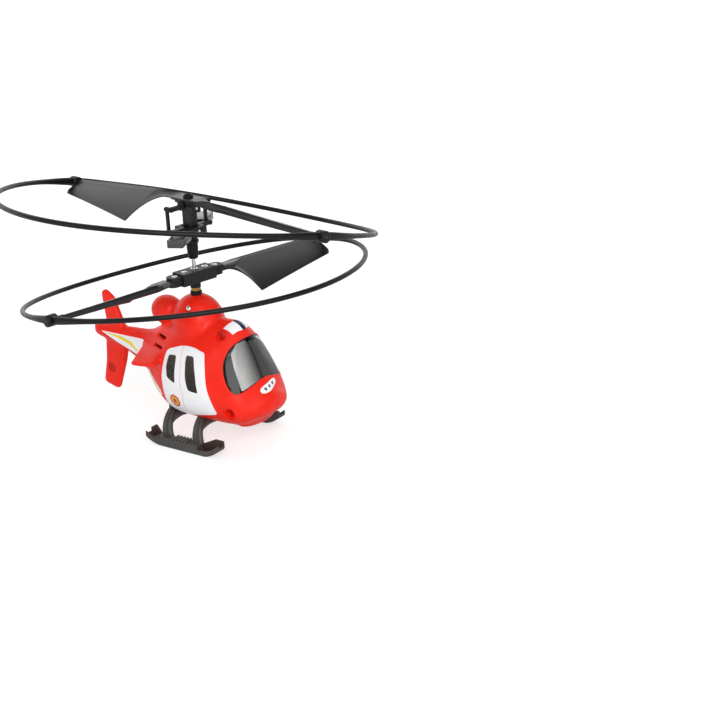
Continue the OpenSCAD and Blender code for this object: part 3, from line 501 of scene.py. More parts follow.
def body_form(inset=0.0, x0=BULKHEADS[0, 0], x1=BULKHEADS[-1, 0], steps=150, count=144):
    """Lofted cabin and boom, moved inwards by inset."""
    share = (1 - np.cos(np.pi * np.arange(steps + 1) / steps)) / 2
    angle = -2 * np.pi * np.arange(count) / count
    rings = []
    for x in x0 + (x1 - x0) * share:
        low, mid, high = body_at(x, 1) + inset, body_at(x, 2), body_at(x, 3) - inset
        w = max(HALF_W * body_at(x, 4) - inset, 0.3)
        n = np.where(np.sin(angle) > 0, CROWN_N, FLOOR_N)
        rise = np.where(np.sin(angle) > 0, max(high - mid, 0.2), max(mid - low, 0.2))
        y = w * np.sign(np.cos(angle)) * np.abs(np.cos(angle)) ** (2 / n)
        z = mid + rise * np.sign(np.sin(angle)) * np.abs(np.sin(angle)) ** (2 / n)
        rings.append(np.stack([np.full(count, x), y, z], axis=1))
    return skin(rings)


def half_width(x, z):
    """Distance of the body surface from the middle plane at a point seen from the side."""
    low, mid, high = body_at(x, 1), body_at(x, 2), body_at(x, 3)
    rise = np.where(z > mid, high - mid, mid - low)
    n = np.where(z > mid, CROWN_N, FLOOR_N)
    share = np.clip(1 - (np.abs(z - mid) / rise) ** n, 0, 1)
    return HALF_W * body_at(x, 4) * share ** (1 / n)


def front_x(y, z):
    """Distance along the body of the surface point seen from the front."""
    xs = np.linspace(48.9, 10, 500)
    inside = half_width(xs, z) - abs(y)
    inside = np.where((z < body_at(xs, 1)) | (z > body_at(xs, 3)), -1, inside)
    return float(xs[np.argmax(inside > 0)])


def dome_form(inset):
    return ellipsoid((0, 0, 62), (15 - inset, 13.5 - inset, 16.6 - inset), 48, 96)


def soften(obj, overall, in_hollows):
    """Smooths the whole mesh a little, then rounds its inner corners into wide fillets."""
    mesh = obj.data
    count = len(mesh.vertices)
    flat = np.empty(count * 3)
    mesh.vertices.foreach_get("co", flat)
    points = flat.reshape(-1, 3)
    ends = np.empty(len(mesh.edges) * 2, dtype=np.int64)
    mesh.edges.foreach_get("vertices", ends)
    a, b = np.concatenate([ends[0::2], ends[1::2]]), np.concatenate([ends[1::2], ends[0::2]])
    links = np.maximum(np.bincount(a, minlength=count), 1)

    def around(values):
        sums = [np.bincount(a, values[b, k], minlength=count) for k in range(values.shape[1])]
        return np.stack(sums, axis=1) / links[:, None]

    for _ in range(overall):
        points = 0.5 * points + 0.5 * around(points)
    mesh.vertices.foreach_set("co", points.ravel())
    mesh.update()
    normals = np.empty(count * 3)
    mesh.vertices.foreach_get("normal", normals)
    hollow = np.sum((around(points) - points) * normals.reshape(-1, 3), axis=1)
    pitch = np.linalg.norm(points[ends[0::2]] - points[ends[1::2]], axis=1).mean()
    share = np.clip(hollow / pitch / 0.012, 0, 1)[:, None]
    for _ in range(10):
        share = np.maximum(share, around(share))
    for _ in range(6):
        share = around(share)
    for _ in range(in_hollows):
        points = points + 0.5 * share * (around(points) - points)
    mesh.vertices.foreach_set("co", points.ravel())
    mesh.update()
    return obj


# corners of the fins: distance from the mast, height, radius, thickness
FIN_KNEE = ((-59, 31, 3, 5), (-67.5, 30, 3, 5))
FINS = (((-57, 50, 3, 5.2), (-64, 50, 3, 5.2), (-62.6, 66, 2.4, 4.4), (-66.6, 68.6, 2.6, 4.4)),
        ((-56, 42, 3, 5.2), (-66, 44, 3, 5.2), *FIN_KNEE),
        (*FIN_KNEE, (-64.5, 15.6, 2.6, 4.2), (-71, 17.4, 2.6, 4.2)))
# corners of a winglet: centre and radii
WINGLET = (((-31, 7, 46.6), (3, 3, 2)), ((-15, 12, 47.5), (3, 3, 2)),
           ((-26, 24.6, 42.6), (2.4, 1.6, 1.2)), ((-13.8, 24.6, 43.6), (2.4, 1.6, 1.2)))


def outer_form():
    """Everything moulded in red, run together with soft corners."""
    ear = ellipsoid((-21.5, 0, 66.2), (9.6, 7.6, 8.2), 40, 72)
    parts = [body_form(0, steps=220, count=180), dome_form(0), ear]
    for corners in FINS:
        parts.append(hull([ellipsoid((x, 0, z), (r, t / 2, r), 16, 28) for x, z, r, t in corners]))
    for side, _ in SIDES:
        parts.append(hull([ellipsoid((x, side * y, z), radii) for (x, y, z), radii in WINGLET]))
    parts.append(ellipsoid((35, 0, 15.6), (6.4, 14.5, 3.4), 32, 64))
    form = union(parts)
    mod = form.modifiers.new("grid", "REMESH")
    mod.mode = "VOXEL"
    mod.voxel_size = 0.45
    mod.use_smooth_shade = True
    return soften(bake(form), 12, 80)


# windshield outline seen from the front, from the top middle round the port side
WINDSHIELD_HALF = [(0, 60), (4, 59.8), (9.6, 57.8), (13.8, 54), (17.2, 48.4), (19, 42.6), (19.7, 37.4),
                   (19, 34), (14.7, 35.4), (8.6, 37.2)]
WINDSHIELD = smooth_outline(WINDSHIELD_HALF + [(0, 39.4)] + [(-y, z) for y, z in WINDSHIELD_HALF[:0:-1]], 2)
# outlines of the painted reflections on the two windshield panes, seen from the front
STARBOARD_PANE = [(-8.5, 58.1), (-3.3, 58.9), (-2, 56.9), (-1.5, 50.8), (-1.3, 39.2), (-9.2, 37.5),
                  (-15.8, 35.6), (-14.4, 47.3), (-12.7, 53.7)]
PORT_PANE = [(-1.8, 58.2), (4.3, 57.1), (8.3, 51.1), (11.5, 44.5), (12.2, 37.4), (-1.1, 39.2), (-1.3, 50.8)]
# outline of the painted highlight along the port edge of the windshield, seen from the front
PORT_EDGE_HIGHLIGHT = [(5.3, 58.3), (9.6, 57.2), (13.4, 53.4), (16.8, 48.2), (18.6, 42.4), (19.3, 37.6), (18.4, 34.8),
             (15.4, 36.1), (17.3, 39.9), (15.8, 46.1), (12.6, 52.2)]
# outlines seen from the side
DOOR = rounded([(-9.4, 51), (1.6, 54.6), (9, 55), (17.4, 53.4), (20, 46), (22.4, 36), (27, 22.4), (14, 19.4),
                (3.5, 16.6), (-3.1, 17.8), (-8.6, 20.4), (-9.8, 38.8)], 3, own=((3, 1.2), (6, 2)))
REAR_WINDOW = rounded([(-6.6, 49), (-0.9, 49.6), (0.9, 35.8), (-5.4, 38), (-6.9, 43.3)], 1.4)
FRONT_WINDOW = rounded([(6, 50.8), (11.4, 51), (14.8, 42.3), (17, 33.2), (10.4, 33.8), (8.2, 40)], 1.4)
PARTING = [(1.45, 57), (1.85, 57), (6.1, 30), (5.5, 13), (5.1, 13), (5.7, 30)]
TAIL_DECAL = rounded([(-69, 47.9), (-35.5, 48.6), (-35, 43), (-40.6, 39.6), (-56, 43.4)], 1)
BELLY_DECAL = rounded([(-30.5, 33.5), (-27, 35.6), (-13, 28.4), (-12.4, 25.6), (-16, 24)], 0.8)
TAIL_STRIPE = rounded([(-68, 47.4), (-56, 46.4), (-46, 44.6), (-40.2, 41.4), (-38.6, 41.6), (-44.4, 46),
                       (-54, 47.6)], 1)
BELLY_STRIPE = rounded([(-28.4, 33.2), (-22, 30.6), (-16, 25.2), (-14.6, 25.4), (-19.6, 30.6),
                        (-27.6, 34.4)], 0.6)
# outline seen from above
ROOF_PANEL = [(25, 1.5), (31.2, 1.5), (28.9, 7), (22.6, 6.6)]
# vent slots (centre and yaw) and creases beside them, on the port side
VENTS = ((-18.7, 9.6, 54.2, 26), (-18.9, 13, 49.6, 23))
CREASES = (((-34.7, 1.4, 52.9), (-31, 2.8, 54.4), (-27.6, 4.2, 55.2)), ((-31.4, 4.6, 51.8), (-28.4, 6, 53)))


def cover(outset, inset, cutter):
    """Thin skin on the body inside a prism."""
    plug = common(body_form(-outset), cutter)
    return cut(plug, body_form(inset))


def side_prism(outline, side):
    return prism(outline, "xz", *span(side, 0.5, 40))


def front_prism(outline):
    return prism(outline, "yz", 20, 60)


def screw_recess(seat):
    """Flared hole from the starboard side down to the seat of a screw head."""
    flare = [(3.7, -30), (3.7, -seat - 2.4), (2.7, -seat - 1.2), (2.7, -seat)]
    return turned([(0, -30)] + flare + [(0, -seat)], "y")


def leg_foot(side, x, z0, z1, play=0):
    """Square foot with which a leg stands in the belly."""
    y, half_w, half_t = side * LEG_FOOT_Y, LEG_W / 2 + play, LEG_T / 2 + play
    return block(x - half_w, x + half_w, y - half_t, y + half_t, z0, z1)


def shell(side, form):
    """Half of the red moulding: hollow, with its openings and screw bosses."""
    shape = common(form, block(-120, 120, *span(side, 0.03, 120), -10, 120))
    windshield_seat = cut(common(body_form(-0.6), front_prism(grown(WINDSHIELD, 0.12))), body_form(0.85))
    tools = [body_form(WALL, -42, BULKHEADS[-1, 0] - 2.5), dome_form(WALL), rod("z", 6.3, 72, 90),
             at(rod("z", 4.7, 5, 20), 27), windshield_seat]
    for x, y, z, yaw in VENTS:
        slot = bevelled(block(-4.9, 4.9, -6, 6, -0.9, 0.9), 0.45)
        tools.append(moved(slot, shift(x, side * y, z) @ turn("Z", side * yaw)))
    for path in CREASES:
        tools.append(sweep([(x, side * y, z) for x, y, z in path], 0.55, 10))
    tools += [leg_foot(side, x, 8, 19.7, 0.06) for x in LEG_X]
    tools.append(block(-14.9, -9.1, -1.2, 1.2, 8, 20))
    if side < 0:
        tools += [at(screw_recess(seat), x, 0, z) for x, z, seat, _ in SCREW_SITES]
        tools.append(at(rod("y", 3.6, -30, -COLLAR_SCREW[2]), COLLAR_SCREW[0], 0, COLLAR_SCREW[1]))
        tools.append(at(rod("y", 3.1, -30, -15), LIGHT_X, 0, LIGHT_Z))
    for tool in tools:
        cut(shape, tool)
    for x, z, seat, tip in SCREW_SITES[:2]:
        boss = common(at(rod("y", 8, *span(side, 0.05, 30)), x, 0, z), body_form(0.5))
        bores = [rod("y", 5.4, -30, -seat), rod("y", 2, -30, 1)] if side < 0 else [rod("y", 1.7, -1, tip)]
        union([shape, cut(boss, *[at(bore, x, 0, z) for bore in bores])])
    return shape


def on_cabin(shape, name, paint, replaces=(), angle=50):
    finish(shape, name, "airframe", paint, replaces, angle=angle)


form = outer_form()
for side, word in SIDES:
    on_cabin(shell(side, copy(form)), word + "_body_shell", RED, (word + "_shell",))
remove(form)

# ---------- windows, doors and labels

windshield = cover(0, 0.8, front_prism(WINDSHIELD))
on_cabin(windshield, "windshield_shell", BLACK_GLOSS, ("windshield",))
# thin sheets over the windshield glass, painted with its reflections and with a highlight along its port edge
for word, outline, paint in (("starboard", STARBOARD_PANE, PANE_REFLECTION_STARBOARD), ("port", PORT_PANE, PANE_REFLECTION_PORT),
                             ("edge", PORT_EDGE_HIGHLIGHT, PANE_EDGE_HIGHLIGHT)):
    pane = cover(0.06, 0.05, front_prism(rounded(outline, 0.9)))
    on_cabin(pane, "windshield_painted_reflection_" + word, paint)
rim = [(front_x(y, z) - 0.05, y, z) for y, z in grown(WINDSHIELD, 0.35)]
on_cabin(sweep(rim, 0.42, 10, closed=True), "windshield_rim", RED, angle=60)


def roof_label(outline):
    return cover(0.25, 0, prism(outline, "xy", 58, 74))


strip = roof_label([(25, -1.4), (31.4, -1.4), (31.4, 1.4), (25, 1.4)])
on_cabin(strip, "roof_window_strip", NAVY, ("roof_window",))
panels = union([roof_label([(x, side * y) for x, y in ROOF_PANEL]) for side in (1, -1)])
on_cabin(panels, "roof_label_panels", WHITE, ("roof_panels",))

# layers of the round emblem: radius, depth of its eight lobes, height above the body
EMBLEM_X, EMBLEM_Z = -0.9, 25.4
EMBLEM = (("disc", 3.6, 0.04, 0.36, EMBLEM_RED), ("petals", 2.7, 0.16, 0.42, EMBLEM_GOLD),
          ("eye", 1.3, 0.0, 0.48, EMBLEM_RED))


def rosette(r, wave):
    points = []
    for t in np.linspace(0, 2 * pi, 96, endpoint=False):
        reach = r * (1 + wave * cos(8 * t))
        points.append((EMBLEM_X + reach * cos(t), EMBLEM_Z + reach * sin(t)))
    return points


for side, word in SIDES:
    door = side_prism(DOOR, side)
    for opening in (grown(REAR_WINDOW, 0.05), grown(FRONT_WINDOW, 0.05), PARTING):
        cut(door, side_prism(opening, side))
    on_cabin(cover(0.3, 0, door), word + "_door_panel", WHITE, (word + "_door",))
    for outlines, outset, name, paint, slot, replaces in (
            ((REAR_WINDOW, FRONT_WINDOW), 0.22, "_door_glazing", SIDE_PANE, "side_window", "_door_windows"),
            ((TAIL_DECAL, BELLY_DECAL), 0.16, "_tail_decal", WHITE, "white_panel", "_stripe"),
            ((TAIL_STRIPE, BELLY_STRIPE), 0.22, "_tail_stripe", YELLOW, "yellow_stripe", None)):
        prints = union([side_prism(outline, side) for outline in outlines])
        on_cabin(cover(outset, 0, prints), word + name, paint, (word + replaces,) if replaces else ())
    for layer, r, wave, outset, paint in EMBLEM:
        on_cabin(cover(outset, 0.1, side_prism(rosette(r, wave), side)), word + "_emblem_" + layer, paint)

BADGE_Y, BADGE_Z, BADGE_TILT = 0.9, 34, radians(9)
BADGE_HALF_L, BADGE_HALF_H = 7, 1.7


def on_badge(u, v):
    """Point of the front view, from a point measured along and across the badge."""
    return (BADGE_Y + u * cos(BADGE_TILT) - v * sin(BADGE_TILT),
            BADGE_Z + u * sin(BADGE_TILT) + v * cos(BADGE_TILT))


def squarish(half, value, power):
    return half * copysign(abs(value) ** power, value)


badge = [on_badge(squarish(BADGE_HALF_L, cos(t), 0.6), squarish(BADGE_HALF_H, sin(t), 0.75))
         for t in np.linspace(0, 2 * pi, 96, endpoint=False)]
on_cabin(cover(0.4, 0, front_prism(badge)), "nose_badge_plate", WHITE, ("nose_badge",))
for i, along in enumerate((-3.4, 0, 3.4)):
    star = [on_badge(along + r * sin(pi * k / 5), r * cos(pi * k / 5))
            for k, r in enumerate((1.2, 0.52) * 5)]
    on_cabin(cover(0.46, 0.1, front_prism(star)), "nose_badge_star_%d" % i, NAVY)


# ---------- screws

def cross(half_l, half_w, z0, z1):
    return block(-half_l, half_l, -half_w, half_w, z0, z1), block(-half_w, half_w, -half_l, half_l, z0, z1)


def screw(head_d, head_t, shank_d, length):
    """Pan head screw along +Z, head at the top, with a cross slot."""
    r = head_d / 2
    dome = [(r * cos(t), head_t * (0.35 + 0.65 * sin(t))) for t in np.linspace(0, pi / 2, 8)]
    shank = [(0, -length), (shank_d * 0.3, -length), (shank_d / 2, -length + 0.4), (shank_d / 2, 0)]
    shape = turned(shank + [(r, 0)] + dome[:-1] + [(0, head_t)], "z", 48)
    return cut(shape, *cross(head_d * 0.19, head_d * 0.06, head_t * 0.6, head_t + 1))


parts = [moved(screw(5.2, 1.2, 1.7, seat + tip), shift(x, -seat, z) @ turn("X", 90) @ turn("Z", 20))
         for x, z, seat, tip in SCREW_SITES]
on_cabin(union(parts), "shell_screw_set", RED_SCREW, ("shell_screws",), angle=32)
x, z, seat, thread_end = COLLAR_SCREW
collar_screw = at(moved(screw(3.2, 1.2, 1.7, seat - thread_end), turn("X", 90)), x, -seat, z)
on_cabin(collar_screw, "collar_screw", SCREW_STEEL, angle=32)

lens = turned([(0, -22.6), (0.5, -22.55), (1.0, -22.3), (1.35, -21.9), (1.5, -21.3), (1.5, -17.6),
               (1.9, -17.6), (1.9, -16.8), (0, -16.8)], "y")
lens = at(lens, LIGHT_X, 0, LIGHT_Z)
on_cabin(lens, "status_light_lens", RED_LENS, ("status_light",), angle=32)


# ---------- landing gear

def runner_end(x):
    """How far a place is up the rising end of a runner, from 0 to 1, and how high that end rises."""
    if x < FLAT_X[0]:
        return (FLAT_X[0] - x) / (FLAT_X[0] - RUNNER_X[0]), REAR_RISE
    if x > FLAT_X[1]:
        return (x - FLAT_X[1]) / (RUNNER_X[1] - FLAT_X[1]), FRONT_RISE
    return 0, 0


def keel(x):
    share, rise = runner_end(x)
    return rise * share**1.7


def runner_depth(x):
    return 5 - runner_end(x)[0]


def runner_profile(x0, x1, lift=0, above=0):
    """Side view of a runner between two places, its sole lifted and its top raised."""
    xs = np.linspace(x0, x1, 48)
    return [(x, keel(x) + lift) for x in xs] + [(x, keel(x) + runner_depth(x) + above) for x in xs[::-1]]


def leg_arc(side, x, t):
    """Middle of an arched leg and its outward direction, with t from 0 at the belly to 1 at the runner."""
    s, c = sin(pi / 2 * t), cos(pi / 2 * t)
    middle = np.array((x + 3.6 * t, side * (13.2 + (SKID_Y - 15.4) * s), 4 + 11.6 * c))
    return middle, np.array((0, side * s, c))


LEG_SECTION = ((-1, -0.7), (-0.85, -1), (0.85, -1), (1, -0.7), (1, 0.7), (0.85, 1), (-0.85, 1), (-1, 0.7))


def leg(side, x, w0, w1, depth):
    rings = []
    for t in np.linspace(0, 1, 28):
        middle, out = leg_arc(side, x, t)
        half_w = (w0 + (w1 - w0) * t**3) / 2
        rings.append([middle + np.array((u * half_w, 0, 0)) + out * v * depth / 2 for u, v in LEG_SECTION])
    return skin(rings)


def web(side, x):
    """Thin gusset from the front edge of a leg up to the belly."""
    rings = []
    for t in np.linspace(0, 0.72, 16):
        middle, out = leg_arc(side, x, t)
        reach = 1.5 + 8.5 * (1 - t / 0.72) ** 1.3
        section = ((0, -0.9), (reach, -0.9), (reach, 0.2), (0, 0.2))
        rings.append([middle + np.array((u, 0, 0)) + out * v for u, v in section])
    return skin(rings)


def end_wall(x0, peak, x1, side):
    """Raised wall on the inner edge of the open channel at one end of a runner."""
    ahead = copysign(0.8, x1 - x0)
    outline = [(x0, keel(x0) + 3), (x1, keel(x1) + 1.5), (x1, keel(x1) + runner_depth(x1) + 0.2),
               (peak + ahead, keel(peak) + 7.4), (peak, keel(peak) + 7.6), (x0, keel(x0) + 4.8)]
    return prism(rounded(outline, 0.8), "xz", *span(side, SKID_Y - 3, SKID_Y - 2.05))


RUNNER_ENDS = ((RUNNER_X[0] - 2, -12), (17, RUNNER_X[1] + 2))


def skid(side):
    """Runner with open channels in its ends, grip ribs and two arched legs."""
    y = side * SKID_Y
    shape = prism(runner_profile(*RUNNER_X), "xz", y - RUNNER_W / 2, y + RUNNER_W / 2)
    bevelled(shape, 0.5, angle=50)
    for ends in RUNNER_ENDS:
        cut(shape, prism(runner_profile(*ends, 1.6, 4), "xz", y - 1.9, y + 1.9))
        cut(shape, prism(runner_profile(*ends, 3, 4), "xz", *span(side, SKID_Y - 1.9, SKID_Y + 4)))
    dimple_y = side * (SKID_Y + 2)
    cut(shape, at(rod("y", 1.3, dimple_y - 1.2, dimple_y + 1.2, 0, 24), 18.2, 0, 2.9))
    parts = [shape, end_wall(17, 26, RUNNER_X[1] - 0.4, side), end_wall(-12, -15.2, RUNNER_X[0] + 0.4, side)]
    for x in LEG_X:
        parts += [leg(side, x, 5, 6.6, 3), leg(side, x, 1.4, 1.4, 4), web(side, x)]
        parts.append(leg_foot(side, x, 13, 19.6))
    for i in range(5):
        parts.append(block(-0.4 + 2.1 * i, 0.5 + 2.1 * i, y - 2.9, y + 2.9, 4.2, 6))
    shape = union(parts)
    belly = body_form(-0.03)
    for x in LEG_X:
        cut(belly, leg_foot(side, x, 10, 20))
    return cut(shape, belly)


for side, word in SIDES:
    landing = finish(skid(side), word + "_landing_skid", "airframe", SKID_GREY,
                     (word + "_skid",), bevel=0.22, segments=2, angle=30)
    # the floor and inner walls of the open channels get the painted shade and reflection
    landing.data.materials.append(SKID_PAINTED_SHADE)
    for face in landing.data.polygons:
        x, y, z = face.center / MM
        inside = abs(y - side * SKID_Y) < 2.15 and any(a < x < b for a, b in RUNNER_ENDS)
        if inside and 1.4 < z - keel(x) < 7.5 and (face.normal.z > 0.5 or face.normal.y * side > 0.5):
            face.material_index = 1

# ---------- mast and lower hub

ON_UPPER = turn("Z", UPPER_TURN)
ON_LOWER = turn("Z", LOWER_TURN)
HEAD = ON_UPPER @ shift(0, 0, UPPER_Z)
BAR = ON_UPPER @ shift(0, 0, FLYBAR_Z)


def in_black(shape, name, body, replaces, bevel=0.25, angle=35):
    finish(shape, name, body, HEAD_BLACK, (replaces,), bevel, angle)


collar = turned([(0, 69), (5.4, 69), (5.4, 75), (3.1, 75), (3.1, 79.9), (2.8, 80.2), (0, 80.2)])
cut(collar, rod("z", 4.12, 68, 81), at(rod("y", 1.7, -10, -3.4), 2, 0, 72.9))
in_black(collar, "mast_collar_sleeve", "airframe", "mast_collar", 0, 40)
ring = turned([(0, 80.6), (2.6, 80.6), (2.7, 80.7), (2.7, 81.0), (2.45, 81.15), (2.45, 81.65), (2.7, 81.8),
               (2.7, 82.1), (2.6, 82.2), (0, 82.2)])
finish(cut(ring, rod("z", 4, 80, 83)), "shaft_ring_brass", "lower_rotor", BRASS, ("shaft_ring",))

ARM_BASE, ARM_TOP, ARM_END = HUB_BASE + 0.7, HUB_TOP - 0.8, 14.4
hub = union([block(-11, 11, -4.6, 4.6, HUB_BASE, HUB_TOP),
             block(-ARM_END, ARM_END, -3.6, 3.6, ARM_BASE, ARM_TOP),
             *[at(rod("z", 7.2, ARM_BASE, ARM_TOP), x) for x in (-ARM_END, ARM_END)],
             rod("z", 5.6, 82.2, HUB_BASE + 1)])
tools = [rod("z", 4, 80, HUB_TOP + 1)]
for s in (-1, 1):
    tools.append(block(*span(s, 5, 19), -2.75, 2.75, LOWER_Z - 1.15, LOWER_Z + 1.15))
parts = []
for x, depth in [(s * r, depth) for s in (-1, 1) for r, depth in HUB_SCREWS]:
    tools += [at(rod("z", 4.6, HUB_TOP - depth, HUB_TOP + 1), x),
              at(rod("z", 1.8, HUB_BASE + 0.8, HUB_TOP + 1), x)]
    hub_screw = moved(screw(3.8, 0.9, 1.5, HUB_TOP - depth - HUB_BASE - 1.4), turn("Z", 35 * x))
    parts.append(at(hub_screw, x, 0, HUB_TOP - depth))
in_black(moved(cut(hub, *tools), ON_LOWER), "lower_hub_block", "lower_rotor", "lower_hub", 0.35)
finish(moved(union(parts), ON_LOWER), "lower_hub_screw_set", "lower_rotor", SCREW_STEEL,
       ("lower_hub_screws",), angle=32)

# ---------- blades

SWEEP_R, PADDLE_R = 15, 28
LEAD_EDGE, ROOT_TRAIL, PADDLE_TRAIL = 3.2, 2, 20.5
EDGE_T = 0.5
FLAT_R = 7
FLATTER = 0.4
LOWER_BLADE = dict(hand=-1, lift=0, root_t=2.2, root_w=5.4, flare_r=18.2, flare_l=10, slope=0.56,
                   tip_trail=13, nose=5.4, r0=5)
UPPER_BLADE = dict(hand=1, lift=4.4, root_t=1.4, root_w=9, flare_r=6.5, flare_l=14, slope=0.52,
                   tip_trail=10, nose=6.0, r0=-3)


def smooth(t):
    c = min(max(t, 0.0), 1.0)
    return c * c * (3 - 2 * c)


def trail(r, tip_r, tip_trail):
    if r < SWEEP_R:
        return ROOT_TRAIL
    if r < PADDLE_R:
        return ROOT_TRAIL + (PADDLE_TRAIL - ROOT_TRAIL) * ((r - SWEEP_R) / (PADDLE_R - SWEEP_R)) ** 2.4
    return PADDLE_TRAIL + (tip_trail - PADDLE_TRAIL) * (r - PADDLE_R) / (tip_r - PADDLE_R)


def lead(r, tip_r):
    return LEAD_EDGE * (1 - 0.3 * smooth((r - 0.7 * tip_r) / (0.3 * tip_r)))


def blade(ring_r, hand, lift, root_t, root_w, flare_r, flare_l, slope, tip_trail, nose, r0):
    """Blade along +X and its tip pin: slim root, deep round nose, wide cambered paddle, thin rear edge."""
    tip_r = ring_r - BOSS_W / 2 - 0.4
    middle_r = PADDLE_R + 4
    count = 30
    rings = []
    for t in np.linspace(0, 1, 100):
        if t < 0.6:
            r = r0 + (middle_r - r0) * (1 - (1 - t / 0.6) ** 1.5)
        else:
            r = middle_r + (tip_r - middle_r) * (t - 0.6) / 0.4
        k = smooth((r - flare_r) / flare_l)
        front = root_w / 2 + (lead(r, tip_r) - root_w / 2) * k
        back = root_w / 2 + (trail(r, tip_r, tip_trail) - root_w / 2) * smooth((r - flare_r) / flare_l / 0.6)
        if r > tip_r - 2.5:
            back -= 2.5 * (1 - sqrt(max(1 - ((r - tip_r + 2.5) / 2.6) ** 2, 0)))
        nose_t = nose * (1 - 0.4 * r / tip_r)
        up = lift * (1 - max(r - FLAT_R, 0) / (tip_r - FLAT_R))
        ring = []
        for j in range(2 * count):
            over = j < count
            c = (j if over else 2 * count - 1 - j) / (count - 1)
            c = c**1.7
            y = -front + (front + back) * c
            aft = max(y, 0) / PADDLE_TRAIL
            drop = slope * k * PADDLE_TRAIL * aft * (FLATTER + (1 - FLATTER) * aft)
            full = root_t * (1 - k) + k * (EDGE_T + (nose_t - EDGE_T) * (1 - c) ** 5)
            bow = min(1, sqrt(c / 0.035 + 0.05)) * min(1, sqrt((1 - c) / 0.01 + 0.2))
            half = full / 2 * (bow * k + (1 - k))
            ring.append((r, hand * y, up - drop + (half if over else -half)))
        rings.append(ring)
    return [skin(rings), rod("x", PIN_D, tip_r - 4, ring_r + BOSS_W / 2, 0.3, 32)]


TONGUE = rounded([(18.3, -2.7), (26, -3.1), (32, -0.6), (27, 2.2), (18.3, 2.7)], 0.6)
for turn_deg, word in ((0, "a"), (180, "b")):
    shape = union(blade(LOWER_R, **LOWER_BLADE))
    cut(shape, *[at(rod("z", 1.6, -4, 4), r) for r, _ in HUB_SCREWS])
    place = ON_LOWER @ turn("Z", turn_deg) @ shift(0, 0, LOWER_Z)
    finish(moved(shape, place), "lower_blade_paddle_" + word, "lower_rotor", BLADE_GREY,
           ("lower_blade_" + word,))
    tongue = prism([(x, -y) for x, y in TONGUE], "xy", -0.5, 1.75)
    finish(moved(tongue, place), "lower_blade_tongue_" + word, "lower_rotor", BLADE_PALE,
           bevel=0.3)

parts = []
for turn_deg in (0, 180):
    parts += [moved(piece, turn("Z", turn_deg)) for piece in blade(UPPER_R, **UPPER_BLADE)]
shape = cut(union(parts), rod("z", 1.7, 0, 8))
finish(moved(shape, HEAD), "upper_blade_pair", "upper_head", BLADE_GREY, ("upper_blades",))

# ---------- rotor head

post = turned([(0, 98), (2.3, 98), (2.6, 98.4), (3, 103), (3, FLYBAR_Z - 1), (0, FLYBAR_Z - 1)])
post = union([post, block(-3.3, 3.3, -2.2, 2.2, FLYBAR_Z - 2.6, UPPER_Z + 1.6),
              rod("z", 7.2, 106.4, 108.2, 0.3)])
cut(post, rod("z", 2, 97, 110))
cut(post, *[at(rod("x", 1.6, -10, 10), 0, 0, z) for z in (UPPER_Z, FLYBAR_Z)])
in_black(moved(post, ON_UPPER), "rotor_post_block", "upper_rotor", "rotor_post")


def link_arm(side, root_y):
    """Arm out to a link, ending in a round eye with a headed pin."""
    arm = block(-1.4, 1.4, *span(side, root_y, LINK_OFFSET), LINK_RISE - 1, LINK_RISE + 1)
    eye = [rod("x", 2.6, -1.4, 1.4), rod("x", 1.4, 1.2, 3.6), rod("x", 2, 3.45, 3.9)]
    return [arm] + [at(piece, 0, side * LINK_OFFSET, LINK_RISE) for piece in eye]


parts = [block(-6.2, 6.2, -4, 4, 2.5, 3.7)]
for x in (-5, 5):
    parts.append(block(x - 1.1, x + 1.1, -2.6, 2.6, -2.2, 3.5))
for side, _ in SIDES:
    parts.append(block(-1.4, 1.4, *span(side, 3.2, 6), LINK_RISE - 1, 3.7))
    parts += link_arm(side, 4)
rocker = cut(union(parts), rod("x", PIVOT_BORE, -10, 10), rod("z", 1.7, 2, 5))
in_black(moved(rocker, HEAD), "head_rocker_yoke", "upper_head", "head_rocker")

cap = turned([(0, 2.6), (0.85, 2.6), (0.85, 5.1), (2.55, 5.1), (2.7, 5.25), (2.7, 5.75), (2.5, 5.95),
              (2.25, 6.35), (1.9, 6.75), (1.4, 7.1), (0.8, 7.3), (0, 7.38)])
cut(cap, *cross(1.5, 0.3, 6.7, 8))
in_black(moved(cap, HEAD), "cap_screw_dome", "upper_head", "cap_screw", 0, 40)

ROD_OFFSETS = (-1.5, 1.5)
SPAR_D = 1.2
ALONG_BAR = turn("Z", FLYBAR_TURN)
parts = [block(-6.4, 6.4, -5.4, 5.4, -2, 2), moved(block(-8.4, 8.4, -2.6, 2.6, -1.4, 1.4), ALONG_BAR)]
for side, _ in SIDES:
    parts += link_arm(side, 5)
bar_hub = cut(union(parts), block(-4.2, 4.2, -3.7, 3.7, -3, 3), rod("x", PIVOT_BORE, -10, 10))
for y in ROD_OFFSETS:
    for s in (-1, 1):
        cut(bar_hub, moved(at(rod("x", SPAR_D, *span(s, 6.6, 9)), 0, y), ALONG_BAR))
in_black(moved(bar_hub, BAR), "flybar_hub_frame", "flybar", "flybar_hub")

SPAR = BAR @ ALONG_BAR
rods = [at(rod("x", SPAR_D, *span(s, 6.6, 26), 0.15, 32), 0, y) for y in ROD_OFFSETS for s in (1, -1)]
finish(moved(union(rods), SPAR), "flybar_rod_set", "flybar", STEEL, ("flybar_rods",))
weights = union([block(*span(s, 12.5, 28.5), -4, 4, -2, 2) for s in (-1, 1)])
cut(weights, *[at(rod("x", SPAR_D, -27, 27), 0, y) for y in ROD_OFFSETS])
finish(moved(weights, SPAR), "flybar_weight_set", "flybar", WEIGHT_GREY, ("flybar_weights",),
       bevel=0.35, angle=35)

